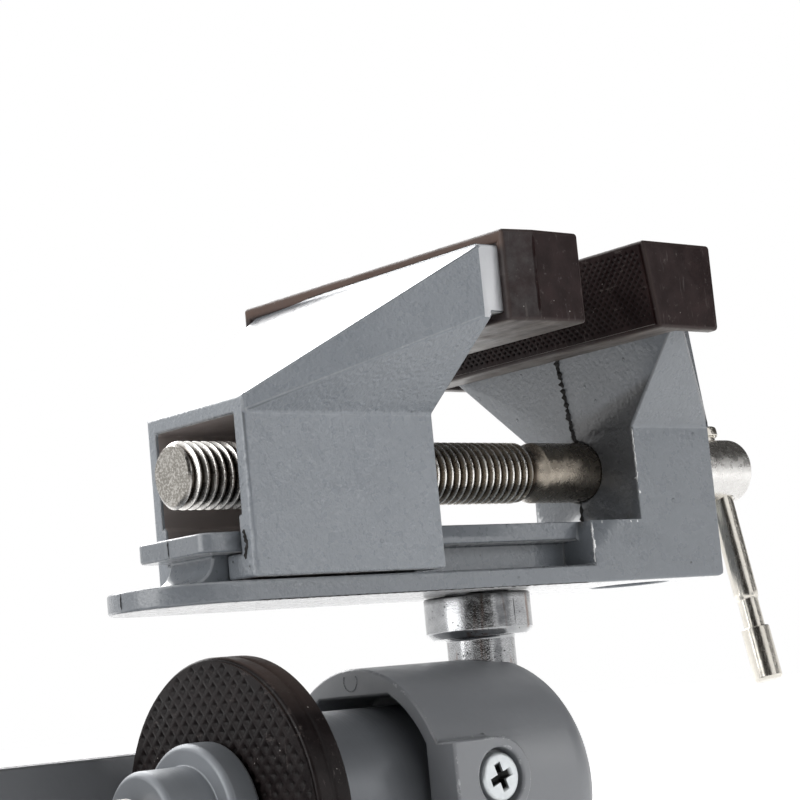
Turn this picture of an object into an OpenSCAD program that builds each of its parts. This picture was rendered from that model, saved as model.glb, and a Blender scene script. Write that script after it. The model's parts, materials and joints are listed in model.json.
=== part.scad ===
// Clamp-on bench vise: a C-frame with a ball housing, and a vise head that tilts and swivels on the ball.
// The origin is the centre of the rubber disc's clamping face. +X runs along the clamp and lead screws
// towards the lead screw's handle, +Y points to the spine of the C-frame and +Z is up.

/* [Rubber disc and plunger] */
// Radius of the rubber clamping disc
disc_r = 28; // [26:0.5:30]
// Rubber in front of the plunger flange
disc_face_t = 2.4; // [1.6:0.1:3.6]
// Rubber around the rim of the plunger flange
disc_rim_t = 2.5; // [1.5:0.1:4]
// Rubber lip behind the plunger flange
disc_lip_t = 2; // [1.2:0.1:3]
// Width of the lip that holds the disc on the flange
disc_lip_w = 3; // [2:0.1:4.5]
// Thickness of the plunger flange
flange_t = 3; // [2:0.1:5]
// Radius of the plunger rod
plunger_r = 17; // [16.4:0.1:17.6]
// How far the plunger presses towards the ball
plunger_travel = 1; // [0.5:0.1:1.5]
// Width of the guide slot in the plunger
slot_w = 5.2; // [4.6:0.1:6]
// Length of the guide slot
slot_len = 8; // [7:0.1:10]
// Depth of the guide slot
slot_depth = 4; // [3:0.1:5]

/* [Ball stud] */
// Distance from the clamping face to the centre of the ball
ball_x = 63.9; // [62:0.1:68]
// Radius of the ball
ball_r = 15.5; // [15:0.1:15.9]
// Radius of the stud's neck
neck_r = 6.5; // [5.5:0.1:7]
// Radius of the stud's collar
collar_r = 10.2; // [9:0.1:12]
// Height of the collar
collar_h = 8; // [6:0.1:9]
// Chamfer on the collar's edges
collar_chamfer = 1.4; // [0.5:0.1:2]
// Height of the base plate's underside over the ball's centre
plate_z = 36.4; // [35:0.1:40]
// Radius of the spigot that the head swivels on
spigot_r = 6; // [5:0.1:6.4]
// Thickness of the pivot washer
pivot_washer_t = 1; // [0.8:0.1:1.2]
// Radius of the pivot washer
pivot_washer_r = 8; // [7:0.1:8.5]
// Radius of the pivot screw's head
pivot_head_r = 4.5; // [4:0.1:5.5]
// Height of the pivot screw's head
pivot_head_h = 1.9; // [1.5:0.1:2]
// Radius of the pivot screw's thread
pivot_screw_r = 2.5; // [2:0.1:3]
// Length of the pivot screw under its head
pivot_screw_len = 16; // [12:1:22]

/* [Housing] */
// Outer radius of the housing barrel
barrel_r = 24.1; // [23.6:0.1:26]
// Distance from the clamping face to the barrel's mouth
barrel_front = 31.4; // [29:0.1:33]
// Length of the barrel behind the ball's centre
barrel_tail = 6.5; // [5:0.1:8]
// Rounding of the barrel's rear edge
barrel_round = 8; // [5:0.1:9]
// Depth of the wide mouth
mouth_depth = 14.6; // [13:0.1:16]
// Radius of the wide mouth
mouth_r = 21.2; // [20:0.1:22]
// Half height of the flats in the mouth
mouth_half = 18.8; // [18.3:0.1:19.5]
// Distance from the barrel's mouth to the guide screw
guide_back = 10.4; // [9.8:0.1:11]
// Height of the guide screw over the clamp axis
guide_z = 3; // [1:0.1:5]
// Distance from the clamp axis to the face of the guide boss
guide_boss_face = 26.5; // [26:0.1:28]
// Radius of the guide boss
guide_boss_r = 7.1; // [6.5:0.1:9]
// Radius of the guide screw's head
guide_head_r = 4.25; // [3.8:0.05:4.8]
// Height of the guide screw's head
guide_head_h = 2.3; // [1.8:0.1:2.6]
// Radius of the guide screw's thread
guide_r = 2; // [1.6:0.1:2.2]

/* [Clamp frame] */
// Distance from the clamp axis to the inner face of the spine
throat = 33; // [31:0.5:45]
// Thickness of the spine across the throat
spine_t = 12; // [9:0.5:18]
// Width of the frame
spine_w = 24.8; // [22:0.2:26]
// Distance from the clamping face to the inner face of the lower arm
clamp_reach = 82; // [80:1:100]
// Thickness of the lower arm
lower_arm_t = 16; // [12:0.5:22]
// Width of the upper arm along the axis
upper_arm_w = 24; // [20:0.5:26]
// Fillet inside the upper arm
upper_fillet = 26; // [20:0.5:26]
// Fillet inside the lower arm
lower_fillet = 10; // [6:0.5:14]
// Rounding of the outer corners
corner_r = 14; // [8:0.5:16]
// Radius of the boss around the clamp screw
screw_boss_r = 13; // [12.6:0.1:15]
// Depth of the pockets in the sides of the spine
pocket_depth = 2; // [1:0.1:4]
// Width of the rims beside the pockets
pocket_rim = 3; // [2:0.1:4]

/* [Clamp screw and pad] */
// Gap between the pad and the disc at rest
pad_gap = 0.3; // [0.2:0.1:2]
// Radius of the pad's flange
pad_r = 13.9; // [12:0.1:14]
// Thickness of the pad's flange
pad_t = 6.1; // [5:0.1:8]
// Chamfer on the pad's edges
pad_chamfer = 0.8; // [0.4:0.1:1.2]
// Radius of the pad's hub
pad_hub_r = 10.2; // [9:0.1:11]
// Length of the pad's hub
pad_hub_len = 9.7; // [8:0.1:12]
// Radius of the screw's tip inside the pad
tip_r = 4.8; // [4.2:0.1:4.8]
// Gap between the clamp screw's head and the frame's boss at rest
clamp_head_gap = 1.9; // [0.5:0.1:6]

/* [Screws] */
// Outer radius of the lead and clamp screw threads
thread_r = 6; // [5.6:0.1:6.4]
// Thread pitch
pitch = 1.75; // [1.5:0.05:2]
// Radius of the screws' heads
head_r = 6.8; // [6.6:0.1:7.4]
// Length of the screws' heads
head_len = 20.7; // [18:0.1:24]
// Distance from a head's far end to its cross hole
cross_back = 5.2; // [4.5:0.1:6]
// Chamfer on the screws' ends
screw_chamfer = 0.8; // [0.4:0.1:1.2]
// Length of the unthreaded neck in front of the fixed jaw's foot
runout = 3; // [2:0.1:6]
// Thickness of the thrust washer
thrust_t = 1.2; // [0.8:0.1:2]
// Radius of the thrust washer
thrust_r = 9; // [8.2:0.1:10]
// Radius of the retaining pins
pin_r = 1.5; // [1.2:0.1:1.8]
// Depth of the groove that the pins run in
groove_depth = 1.4; // [1:0.1:1.6]

/* [Handle bars] */
// Radius of the bars
bar_r = 2.6; // [2.2:0.1:2.6]
// Radius of the necks beside a bar's head and cap
bar_neck_r = 2.2; // [1.9:0.1:2.2]
// Length of each neck
bar_neck_len = 6.2; // [4:0.1:8]
// Radius of a bar's head and cap
cap_r = 3; // [2.9:0.05:3.5]
// Length of the head formed on a bar's upper end
bar_head_len = 2.2; // [1.5:0.1:4]
// Length of the cap on a bar's lower end
cap_len = 11.3; // [8:0.1:14]
// Free length of a bar between its head and its cap
bar_len = 42; // [36:0.5:48]
// Gap between the bar's head and the lead screw's head at rest
bar_drop_gap = 0.5; // [0.3:0.1:2]
// Tilt of the lead screw's bar from upright
bar_tilt = 11.14; // [0:0.01:20]
// Tilt of the clamp screw's bar from upright
clamp_bar_tilt = 15; // [0:1:90]

/* [Base body] */
// Length of the base plate in front of the stud
plate_front = 80.1; // [76:0.1:84]
// Length of the base plate behind the stud
plate_rear = 55.05; // [54:0.05:60]
// Width of the base plate, foot and upright
plate_w = 29.6; // [28:0.2:32]
// Thickness of the base plate
plate_t = 3.6; // [3:0.1:4.5]
// Length of the rail in front of the stud
rail_front = 69.8; // [66:0.1:72]
// Width of the rail's flange
rail_w = 21.4; // [20:0.2:22]
// Rounding of the rail's front corners
rail_corner_r = 2.6; // [1:0.1:4]
// Width of the rail's web
web_w = 13; // [12.4:0.2:15]
// Height of the rail's web over the plate
web_h = 5.1; // [4.5:0.1:6]
// Thickness of the rail's flange
rail_t = 3.5; // [3.3:0.1:4.5]
// Distance from the stud to the foot
foot_x = 18.2; // [16:0.1:20]
// Distance from the stud to the upright
upright_x = 32.4; // [32:0.1:34]
// How far the upright's parting line stands forward
upright_draft = 1.6; // [0:0.1:2.2]
// Height of the upright
upright_h = 30.7; // [30.5:0.1:33]
// Height of the lead screw over the plate's underside
screw_z = 23.2; // [23:0.1:24]
// Distance from the upright's face to the retaining pins
pin_back = 10; // [9:0.1:12]
// Radius of the pocket under the upright
pocket_r = 8; // [7.9:0.1:10]
// Height of the pocket under the upright
pocket_h = 8; // [5:0.1:9]

/* [Jaws] */
// Width of the metal jaws
jaw_w = 66.6; // [60:0.2:76]
// Height of the jaws' upper edge over the plate's underside
jaw_top = 59.9; // [58:0.1:66]
// Height of the jaw blocks
jaw_h = 12.3; // [10:0.1:13]
// Distance from the stud to the fixed jaw's face
fixed_face = 20.4; // [19:0.1:21.5]
// Depth of the fixed jaw's block
fixed_t = 16; // [14:0.1:17]
// Distance from the fixed jaw's face to the crest of its flare
fixed_flare = 7.5; // [7:0.1:8.5]
// Thickness of a flare at the jaw
flare_t = 1.5; // [1.2:0.1:2]
// Opening between the rubber faces at rest
jaw_gap = 16.3; // [12:0.1:18]
// Depth of the movable jaw's block
movable_t = 19.8; // [19.6:0.1:21]
// How far the movable jaw's block stands over the rear of its box
movable_overhang = 18; // [17:0.1:18.2]

/* [Movable jaw's box] */
// Length of the box
box_len = 42.7; // [40:0.1:46]
// Height of the box's roof over the plate's underside
box_top = 34.9; // [34.4:0.1:36]
// Thickness of the box's side walls
box_wall = 3; // [2.2:0.1:3.4]
// Thickness of the box's roof
box_roof = 2.7; // [2:0.1:3]
// Thickness of the box's end wall with the nut
end_wall = 10.1; // [9:0.1:14]
// Radius of the nut
nut_r = 8.5; // [8:0.1:8.8]
// Length of the nut
nut_len = 8; // [7:0.1:8.4]

/* [Rubber boots] */
// Rubber on the clamping faces
boot_face_t = 3; // [2:0.1:4]
// Rubber on the ends of the jaws
boot_end_t = 3; // [2:0.1:4]
// Rubber over the jaws' upper edges
boot_top_t = 2.7; // [2:0.1:4]
// Rubber under the jaws
boot_bottom_t = 1.8; // [1.2:0.1:2.5]
// Length of the fixed boot's lip under the jaw
boot_lip = 10; // [6:0.1:10]
// How far the fixed boot reaches past the rear of its jaw
boot_past = 0.4; // [0:0.1:1]
// Depth of the movable boot over its jaw
boot_depth = 17.6; // [15:0.1:17.8]

/* [Hidden] */
$fn = 96;
eps = 0.01;
// Radial clearance of a shaft that turns or slides in its bore
run_clear = 0.06;
// Clearance between sliding or moving castings
slide_clear = 0.3;
// Clearance between pieces that are pressed together
press_clear = 0.01;
// Overlap of cuts past the faces that they open
cut = 1;

disc_t = disc_face_t + flange_t + disc_lip_t;
flange_r = disc_r - disc_rim_t;
flange_rear = disc_face_t + flange_t;
groove_w = 1;
rim_groove_depth = 0.6;
rim_groove_x = disc_face_t + flange_t / 2 - groove_w / 2;

cup_clear = 0.2;
cup_r = ball_r + plunger_travel + cup_clear;
seat_r = ball_r + 0.15;
ball_bore_len = 6.9;
plunger_end = ball_x - ball_bore_len - 2;
barrel_rear = ball_x + barrel_tail;
guide_x = barrel_front + guide_back;
guide_seat = guide_boss_face - guide_head_h - 0.2;
guide_counterbore_r = guide_head_r + 0.85;
guide_tip_y = plunger_r - slot_depth + 1;
slot_x = guide_x - slot_len / 2 + plunger_travel / 2 - 1;
neck_slot_half = neck_r + 0.4;

arm_rear = ball_x - 3.9;
arm_front = arm_rear - upper_arm_w;
frame_far = -clamp_reach - lower_arm_t;
spine_out = throat + spine_t;
screw_boss_past = 2;
screw_boss_inner = 1;

pad_front = -pad_gap;
pad_rear = pad_front - pad_t;
hub_rear = pad_rear - pad_hub_len;
tip_front = pad_front - 1.6;
ring_groove_x = tip_front - 3.2;
ring_t = 1;
ring_groove_depth = 0.8;
ring_r = tip_r + 1.2;
ring_room_r = ring_r + slide_clear;
ring_room_x = ring_groove_x - ring_t - slide_clear;
shoulder_gap = 0.3;
clamp_thread_front = hub_rear - shoulder_gap;
clamp_head_front = frame_far - screw_boss_past - clamp_head_gap;
clamp_head_rear = clamp_head_front - head_len;
clamp_cross_x = clamp_head_rear + cross_back;

thread_depth = 0.61 * pitch;
cross_r = bar_r + 0.1;
cap_bore_r = 1.5;
cap_bore_len = 6;
cap_chamfer = 0.5;

plate_half = plate_w / 2;
rail_z = plate_t + web_h;
rail_top = rail_z + rail_t;
foot_h = rail_top - 0.2;
stud_bore_r = spigot_r + run_clear;
spigot_top = rail_z + 0.2;
counterbore_r = pivot_washer_r + 0.6;
collar_top = plate_z - slide_clear;
collar_bottom = collar_top - collar_h;
pivot_washer_z = plate_z + spigot_top + 0.05;
pivot_head_z = pivot_washer_z + pivot_washer_t;

thread_front = -rail_front + 1.8;
shank_front = foot_x - 0.8;
thread_end = shank_front - runout;
runout_r = thread_r - 0.9;
screw_head_x = plate_rear + thrust_t + 0.15;
screw_head_end = screw_head_x + head_len;
cross_x = screw_head_end - cross_back;
thrust_x = plate_rear + 0.05;
pin_x = upright_x + pin_back;
pin_y = thread_r - groove_depth + pin_r + 0.1;
groove_len = 2 * pin_r + 0.4;
pin_top = screw_z + 4.5;

jaw_half = jaw_w / 2;
block_z = jaw_top - jaw_h;
fixed_crest = fixed_face + fixed_flare;
fixed_rear = fixed_face + fixed_t;
fixed_boot_face = fixed_face - boot_face_t;
movable_boot_face = fixed_boot_face - jaw_gap;
movable_face = movable_boot_face - boot_face_t;
movable_rear = movable_face - movable_t;
box_rear = movable_face - movable_overhang;
box_front = box_rear - box_len;
box_bottom = plate_t + 0.5;
lip_top = rail_z - slide_clear;
channel_top = rail_top + slide_clear;
channel_half = rail_w / 2 + slide_clear;
web_room_half = web_w / 2 + slide_clear;
wall_step_z = channel_top + 2.5;
cavity_half = plate_half - box_wall;
cavity_rear = box_rear - end_wall;
nut_front = cavity_rear;
nut_rear = nut_front + nut_len;
nut_bore_r = thread_r + 0.05;
screw_room_r = thread_r + 0.5;

bar_half = bar_len / 2;
bar_drop = bar_half - head_r - bar_drop_gap;

casting = [0.50, 0.53, 0.57];
rubber = [0.13, 0.12, 0.11];
steel = [0.72, 0.70, 0.67];
silver = [0.70, 0.71, 0.73];

// Block between two corners
module block(x, y, z) {
    translate([x[0], y[0], z[0]]) cube([x[1] - x[0], y[1] - y[0], z[1] - z[0]]);
}

// Cylinder along the X axis
module rod_x(x, r) {
    translate([x[0], 0, 0]) rotate([0, 90, 0]) cylinder(h = x[1] - x[0], r = r);
}

// Solid turned about the X axis from points [x, radius]
module turned_x(points) {
    rotate([0, 90, 0]) rotate_extrude() polygon([for (p = points) [p[1], p[0]]]);
}

// Solid turned about the Z axis from points [radius, z]
module turned_z(points) {
    rotate_extrude() polygon(points);
}

// Moves children from the head's own frame, where the stud's axis meets the plate's underside
module on_head() {
    translate([ball_x, 0, plate_z]) children();
}

// Moves children to the lead screw's axis
module on_lead_axis() {
    on_head() translate([0, 0, screw_z]) children();
}

// Points [x, radius] of thread ridges from x0 to x1
function thread_points(x0, x1) =
    let (n = floor((x1 - x0) / pitch))
    [
        for (i = [0 : n - 1])
            let (x = x0 + i * pitch)
            each [
                [x, thread_r - thread_depth],
                [x + 0.25 * pitch, thread_r - thread_depth],
                [x + 0.56 * pitch, thread_r],
                [x + 0.69 * pitch, thread_r]
            ]
    ];

// Quarter fillet between two walls that meet at the corner, filling towards sx and sy
module fillet_z(x, y, r, sx, sy, half) {
    far_x = x + sx * r;
    far_y = y + sy * r;
    difference() {
        block([min(x, far_x), max(x, far_x)], [min(y, far_y), max(y, far_y)], [-half, half]);
        translate([far_x, far_y, -half - cut]) cylinder(h = 2 * (half + cut), r = r);
    }
}

// Handle bar along Z with its middle at the origin: formed head, plain rod, necks and a spigot for the cap
module bar_shape() {
    body = bar_half - bar_neck_len;
    tip = bar_half + cap_bore_len - 0.2;
    top = bar_half + bar_head_len;
    taper = 0.8;
    turned_z([
        [0, -tip], [cap_bore_r, -tip], [cap_bore_r, -bar_half], [bar_neck_r, -bar_half],
        [bar_neck_r, -body - taper], [bar_r, -body], [bar_r, body], [bar_neck_r, body + taper],
        [bar_neck_r, bar_half], [cap_r - cap_chamfer, bar_half], [cap_r, bar_half + cap_chamfer],
        [cap_r, top - cap_chamfer], [cap_r - cap_chamfer, top], [0, top]
    ]);
}

// The cap pressed on a handle bar's lower end
module cap_shape() {
    bore = cap_bore_r + press_clear;
    outer = bar_half + cap_len;
    mirror([0, 0, 1])
        turned_z([
            [bore, bar_half], [cap_r - cap_chamfer, bar_half], [cap_r, bar_half + cap_chamfer],
            [cap_r, outer - cap_chamfer], [cap_r - cap_chamfer, outer], [0, outer],
            [0, bar_half + cap_bore_len], [bore, bar_half + cap_bore_len]
        ]);
}

// Places a bar in the lead screw's cross hole, slid down until its own head nears the screw's head
module at_lead_bar() {
    on_lead_axis() translate([cross_x, 0, 0]) rotate([-bar_tilt, 0, 0])
        translate([0, 0, -bar_drop]) children();
}

// Places a bar in the clamp screw's cross hole, slid down in the same way
module at_clamp_bar() {
    translate([clamp_cross_x, 0, 0]) rotate([-clamp_bar_tilt, 0, 0])
        translate([0, 0, -bar_drop]) children();
}

// Housing barrel with its rounded rear edge
module barrel() {
    core_r = barrel_r - barrel_round;
    rotate([0, 90, 0]) rotate_extrude() union() {
        translate([0, barrel_front]) square([barrel_r, barrel_rear - barrel_round - barrel_front]);
        translate([0, barrel_front]) square([core_r, barrel_rear - barrel_front]);
        translate([core_r, barrel_rear - barrel_round]) circle(barrel_round);
    }
}

// C of the frame: spine, arms, fillets and round corners
module frame_c() {
    half = spine_w / 2;
    difference() {
        block([frame_far, arm_rear], [0, spine_out], [-half, half]);
        block([-clamp_reach, arm_front], [-cut, throat], [-half - cut, half + cut]);
        for (p = [[frame_far, 1], [arm_rear, -1]])
            difference() {
                block([min(p[0], p[0] + p[1] * corner_r) - (p[1] > 0 ? cut : 0),
                       max(p[0], p[0] + p[1] * corner_r) + (p[1] > 0 ? 0 : cut)],
                      [spine_out - corner_r, spine_out + cut], [-half - cut, half + cut]);
                translate([p[0] + p[1] * corner_r, spine_out - corner_r, -half - 2 * cut])
                    cylinder(h = 2 * half + 4 * cut, r = corner_r);
            }
    }
    fillet_z(arm_front, throat, upper_fillet, -1, -1, half);
    fillet_z(-clamp_reach, throat, lower_fillet, 1, -1, half);
    rod_x([frame_far - screw_boss_past, -clamp_reach + screw_boss_inner], screw_boss_r);
}

// Tongue-shaped boss for the guide screw on the barrel's side
module guide_boss() {
    translate([guide_x, -guide_boss_face, guide_z]) rotate([-90, 0, 0])
        cylinder(h = guide_boss_face, r = guide_boss_r);
    block([barrel_front, guide_x], [-guide_boss_face, 0], [guide_z - guide_boss_r, guide_z + guide_boss_r]);
}

// Slot that lets the stud's neck tilt from upright to straight back
module neck_slot() {
    reach = barrel_r + barrel_tail;
    translate([ball_x, 0, 0]) cylinder(h = reach, r = neck_slot_half);
    translate([ball_x, 0, 0]) rotate([0, 90, 0]) cylinder(h = reach, r = neck_slot_half);
    block([ball_x, ball_x + reach], [-neck_slot_half, neck_slot_half], [0, reach]);
}

module clamp_frame() {
    bore_r = plunger_r + run_clear;
    pocket_y = [throat + pocket_rim, spine_out - pocket_rim];
    pocket_x = [frame_far + corner_r, arm_front];
    half = spine_w / 2;
    color(casting) difference() {
        union() {
            frame_c();
            barrel();
            guide_boss();
        }
        intersection() {
            rod_x([barrel_front - 10, barrel_front + mouth_depth], mouth_r);
            block([barrel_front - 12, barrel_front + mouth_depth + cut], [-mouth_half, mouth_half],
                  [-mouth_half, mouth_half]);
        }
        rod_x([barrel_front, ball_x - ball_bore_len], bore_r);
        rod_x([ball_x - ball_bore_len - eps, ball_x], seat_r);
        translate([ball_x, 0, 0]) sphere(seat_r);
        neck_slot();
        translate([guide_x, 0, guide_z]) rotate([90, 0, 0])
            cylinder(h = guide_boss_face, r = guide_r + press_clear);
        translate([guide_x, -guide_seat, guide_z]) rotate([90, 0, 0])
            cylinder(h = guide_boss_face, r = guide_counterbore_r);
        rod_x([frame_far - screw_boss_past - cut, -clamp_reach + screw_boss_inner + cut],
              thread_r + run_clear);
        for (s = [0, 1])
            mirror([0, 0, s]) block(pocket_x, pocket_y, [half - pocket_depth, half + cut]);
    }
}

module guide_screw() {
    recess_w = 0.9;
    recess_len = 4.6;
    recess_depth = 1.3;
    head_out = guide_seat + guide_head_h;
    color(steel) translate([guide_x, 0, guide_z]) difference() {
        union() {
            translate([0, -guide_seat, 0]) rotate([90, 0, 0]) cylinder(h = guide_head_h, r = guide_head_r);
            translate([0, -guide_tip_y, 0]) rotate([90, 0, 0])
                cylinder(h = guide_seat - guide_tip_y + eps, r = guide_r);
        }
        for (a = [20, 110])
            translate([0, -head_out, 0]) rotate([0, a, 0])
                block([-recess_len / 2, recess_len / 2], [-cut, recess_depth],
                      [-recess_w / 2, recess_w / 2]);
    }
}

module plunger() {
    floor_y = plunger_r - slot_depth;
    color(silver) difference() {
        union() {
            rod_x([disc_face_t, flange_rear], flange_r);
            rod_x([disc_face_t, plunger_end], plunger_r);
        }
        translate([ball_x, 0, 0]) sphere(cup_r);
        block([slot_x, slot_x + slot_len], [-plunger_r - cut, -floor_y],
              [guide_z - slot_w / 2, guide_z + slot_w / 2]);
    }
}

module disc_rubber() {
    edge = 0.8;
    pocket = flange_r + press_clear;
    color(rubber) turned_x([
        [0, 0], [0, disc_r - edge], [edge, disc_r], [rim_groove_x, disc_r],
        [rim_groove_x, disc_r - rim_groove_depth], [rim_groove_x + groove_w, disc_r - rim_groove_depth],
        [rim_groove_x + groove_w, disc_r], [disc_t - edge, disc_r], [disc_t, disc_r - edge],
        [disc_t, flange_r - disc_lip_w], [flange_rear + press_clear, flange_r - disc_lip_w],
        [flange_rear + press_clear, pocket], [disc_face_t - press_clear, pocket],
        [disc_face_t - press_clear, 0]
    ]);
}

module ball_stud() {
    top = plate_z + spigot_top;
    color(silver) translate([ball_x, 0, 0]) difference() {
        union() {
            sphere(ball_r);
            turned_z([
                [0, 0], [neck_r, 0], [neck_r, collar_bottom], [collar_r - collar_chamfer, collar_bottom],
                [collar_r, collar_bottom + collar_chamfer], [collar_r, collar_top - collar_chamfer],
                [collar_r - collar_chamfer, collar_top], [spigot_r, collar_top], [spigot_r, top], [0, top]
            ]);
        }
        translate([0, 0, pivot_head_z - pivot_screw_len - cut])
            cylinder(h = pivot_screw_len + 2 * cut + pivot_washer_t, r = pivot_screw_r + press_clear);
    }
}

module pivot_screw() {
    socket_r = 1.9;
    socket_h = 1.2;
    color(steel) translate([ball_x, 0, pivot_head_z]) difference() {
        turned_z([
            [0, -pivot_screw_len], [pivot_screw_r, -pivot_screw_len], [pivot_screw_r, 0], [pivot_head_r, 0],
            [pivot_head_r, pivot_head_h - 0.5], [pivot_head_r - 0.5, pivot_head_h], [0, pivot_head_h]
        ]);
        translate([0, 0, pivot_head_h - socket_h]) cylinder(h = socket_h + cut, r = socket_r, $fn = 6);
    }
}

module pivot_washer() {
    color(steel) translate([ball_x, 0, pivot_washer_z]) difference() {
        cylinder(h = pivot_washer_t, r = pivot_washer_r);
        translate([0, 0, -cut]) cylinder(h = pivot_washer_t + 2 * cut, r = pivot_screw_r + 0.2);
    }
}

// Outline of the upright, with its parting line standing forward in the middle
module upright_outline() {
    polygon([
        [upright_x, -plate_half], [plate_rear, -plate_half], [plate_rear, plate_half],
        [upright_x, plate_half], [upright_x - upright_draft, 0]
    ]);
}

// Upright with the flare that widens to the fixed jaw
module fixed_flare_shape() {
    slab_t = 0.1;
    linear_extrude(upright_h) upright_outline();
    hull() {
        translate([0, 0, upright_h - slab_t]) linear_extrude(slab_t) upright_outline();
        block([fixed_crest, fixed_crest + flare_t], [-jaw_half, jaw_half], [block_z + 1.2, jaw_top]);
    }
    block([fixed_face, fixed_rear], [-jaw_half, jaw_half], [block_z, jaw_top]);
}

// T-shaped rail with a hollow round under its front end
module rail() {
    web_half = web_w / 2;
    difference() {
        block([-rail_front, upright_x], [-web_half, web_half], [plate_t - eps, rail_z]);
        translate([-rail_front, -web_half - cut, rail_z]) rotate([-90, 0, 0])
            cylinder(h = web_w + 2 * cut, r = web_h - 0.6);
    }
    rail_flange();
}

// Flange of the rail, with round front corners
module rail_flange() {
    half = rail_w / 2;
    z = [rail_z - eps, rail_top];
    block([-rail_front + rail_corner_r, upright_x], [-half, half], z);
    block([-rail_front, upright_x], [-half + rail_corner_r, half - rail_corner_r], z);
    for (s = [-1, 1])
        translate([-rail_front + rail_corner_r, s * (half - rail_corner_r), z[0]])
            cylinder(h = z[1] - z[0], r = rail_corner_r);
}

module base_body() {
    color(casting) on_head() difference() {
        union() {
            block([-plate_front + plate_half, plate_rear], [-plate_half, plate_half], [0, plate_t]);
            translate([-plate_front + plate_half, 0, 0]) cylinder(h = plate_t, r = plate_half);
            rail();
            block([foot_x, upright_x + cut], [-plate_half, plate_half], [0, foot_h]);
            fixed_flare_shape();
        }
        translate([0, 0, -cut]) cylinder(h = rail_top + 2 * cut, r = stud_bore_r);
        translate([0, 0, rail_z]) cylinder(h = rail_t + cut, r = counterbore_r);
        translate([0, 0, screw_z]) rod_x([foot_x - cut, plate_rear + cut], thread_r + run_clear);
        translate([pin_x, 0, -cut]) cylinder(h = pocket_h + cut, r = pocket_r);
        for (s = [-1, 1])
            translate([pin_x, s * pin_y, pocket_h - cut])
                cylinder(h = pin_top - pocket_h + cut, r = pin_r + press_clear);
    }
}

// Rubber boot: a cap over a jaw block, open behind
module boot(face, depth, lip) {
    outer_half = jaw_half + boot_end_t;
    inner_half = jaw_half + press_clear;
    bottom = block_z - boot_bottom_t;
    rear = face + depth;
    difference() {
        block([face - boot_face_t, rear], [-outer_half, outer_half], [bottom, jaw_top + boot_top_t]);
        block([face - press_clear, rear + cut], [-inner_half, inner_half],
              [block_z - press_clear, jaw_top + press_clear]);
        if (lip < depth)
            block([face - boot_face_t + lip, rear + cut], [-inner_half, inner_half],
                  [bottom - cut, block_z + cut]);
    }
}

module fixed_jaw_pad() {
    color(rubber) on_head() boot(fixed_face, fixed_t + boot_past, boot_lip);
}

module retaining_pin() {
    color(steel) on_head()
        for (s = [-1, 1])
            translate([pin_x, s * pin_y, pocket_h]) cylinder(h = pin_top - pocket_h - 0.2, r = pin_r);
}

module thrust_washer() {
    color(steel) on_lead_axis() difference() {
        rod_x([thrust_x, thrust_x + thrust_t], thrust_r);
        rod_x([thrust_x - cut, thrust_x + thrust_t + cut], thread_r + 0.1);
    }
}

// Flare that widens from the box to the movable jaw
module movable_flare_shape() {
    hull() {
        block([box_front, box_rear], [-plate_half, plate_half], [box_top - box_roof, box_top]);
        block([movable_rear, box_rear], [-jaw_half, jaw_half], [block_z - 0.9, jaw_top - 0.4]);
    }
    block([movable_rear, movable_face], [-jaw_half, jaw_half], [block_z, jaw_top]);
}

module movable_jaw() {
    color(casting) on_head() difference() {
        union() {
            block([box_front, box_rear], [-plate_half, plate_half], [box_bottom, box_top]);
            movable_flare_shape();
        }
        block([box_front - cut, cavity_rear], [-cavity_half, cavity_half], [wall_step_z, box_top - box_roof]);
        block([box_front - cut, cavity_rear], [-channel_half, channel_half], [lip_top, wall_step_z + eps]);
        block([box_front - cut, box_rear + cut], [-channel_half, channel_half], [lip_top, channel_top]);
        block([box_front - cut, box_rear + cut], [-web_room_half, web_room_half],
              [box_bottom - cut, lip_top + eps]);
        translate([0, 0, screw_z]) rod_x([nut_front - cut, nut_rear], nut_r + press_clear);
        translate([0, 0, screw_z]) rod_x([nut_front, box_rear + cut], screw_room_r);
    }
}

module jaw_nut() {
    color(steel) on_lead_axis() difference() {
        rod_x([nut_front, nut_rear], nut_r);
        rod_x([nut_front - cut, nut_rear + cut], nut_bore_r);
    }
}

module movable_jaw_pad() {
    color(rubber) on_head() mirror([1, 0, 0]) boot(-movable_face, boot_depth, boot_depth + boot_face_t);
}

// Points [x, radius] of the lead screw's outline, from its threaded end to its drilled head
function lead_screw_points() = concat(
    [[thread_front, 0], [thread_front, thread_r - thread_depth]],
    thread_points(thread_front + screw_chamfer, thread_end),
    [
        [thread_end, runout_r], [shank_front - runout / 2, runout_r], [shank_front, thread_r],
        [pin_x - groove_len / 2, thread_r], [pin_x - groove_len / 2, thread_r - groove_depth],
        [pin_x + groove_len / 2, thread_r - groove_depth], [pin_x + groove_len / 2, thread_r],
        [screw_head_x, thread_r], [screw_head_x, head_r], [screw_head_end - screw_chamfer, head_r],
        [screw_head_end, head_r - screw_chamfer], [screw_head_end, 0]
    ]
);

module lead_screw() {
    color(steel) on_lead_axis() difference() {
        turned_x(lead_screw_points());
        translate([cross_x, 0, 0]) rotate([-bar_tilt, 0, 0]) translate([0, 0, -head_r - cut])
            cylinder(h = 2 * (head_r + cut), r = cross_r);
    }
}

module lead_bar() {
    color(steel) at_lead_bar() bar_shape();
}

module lead_bar_cap() {
    color(steel) at_lead_bar() cap_shape();
}

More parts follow.
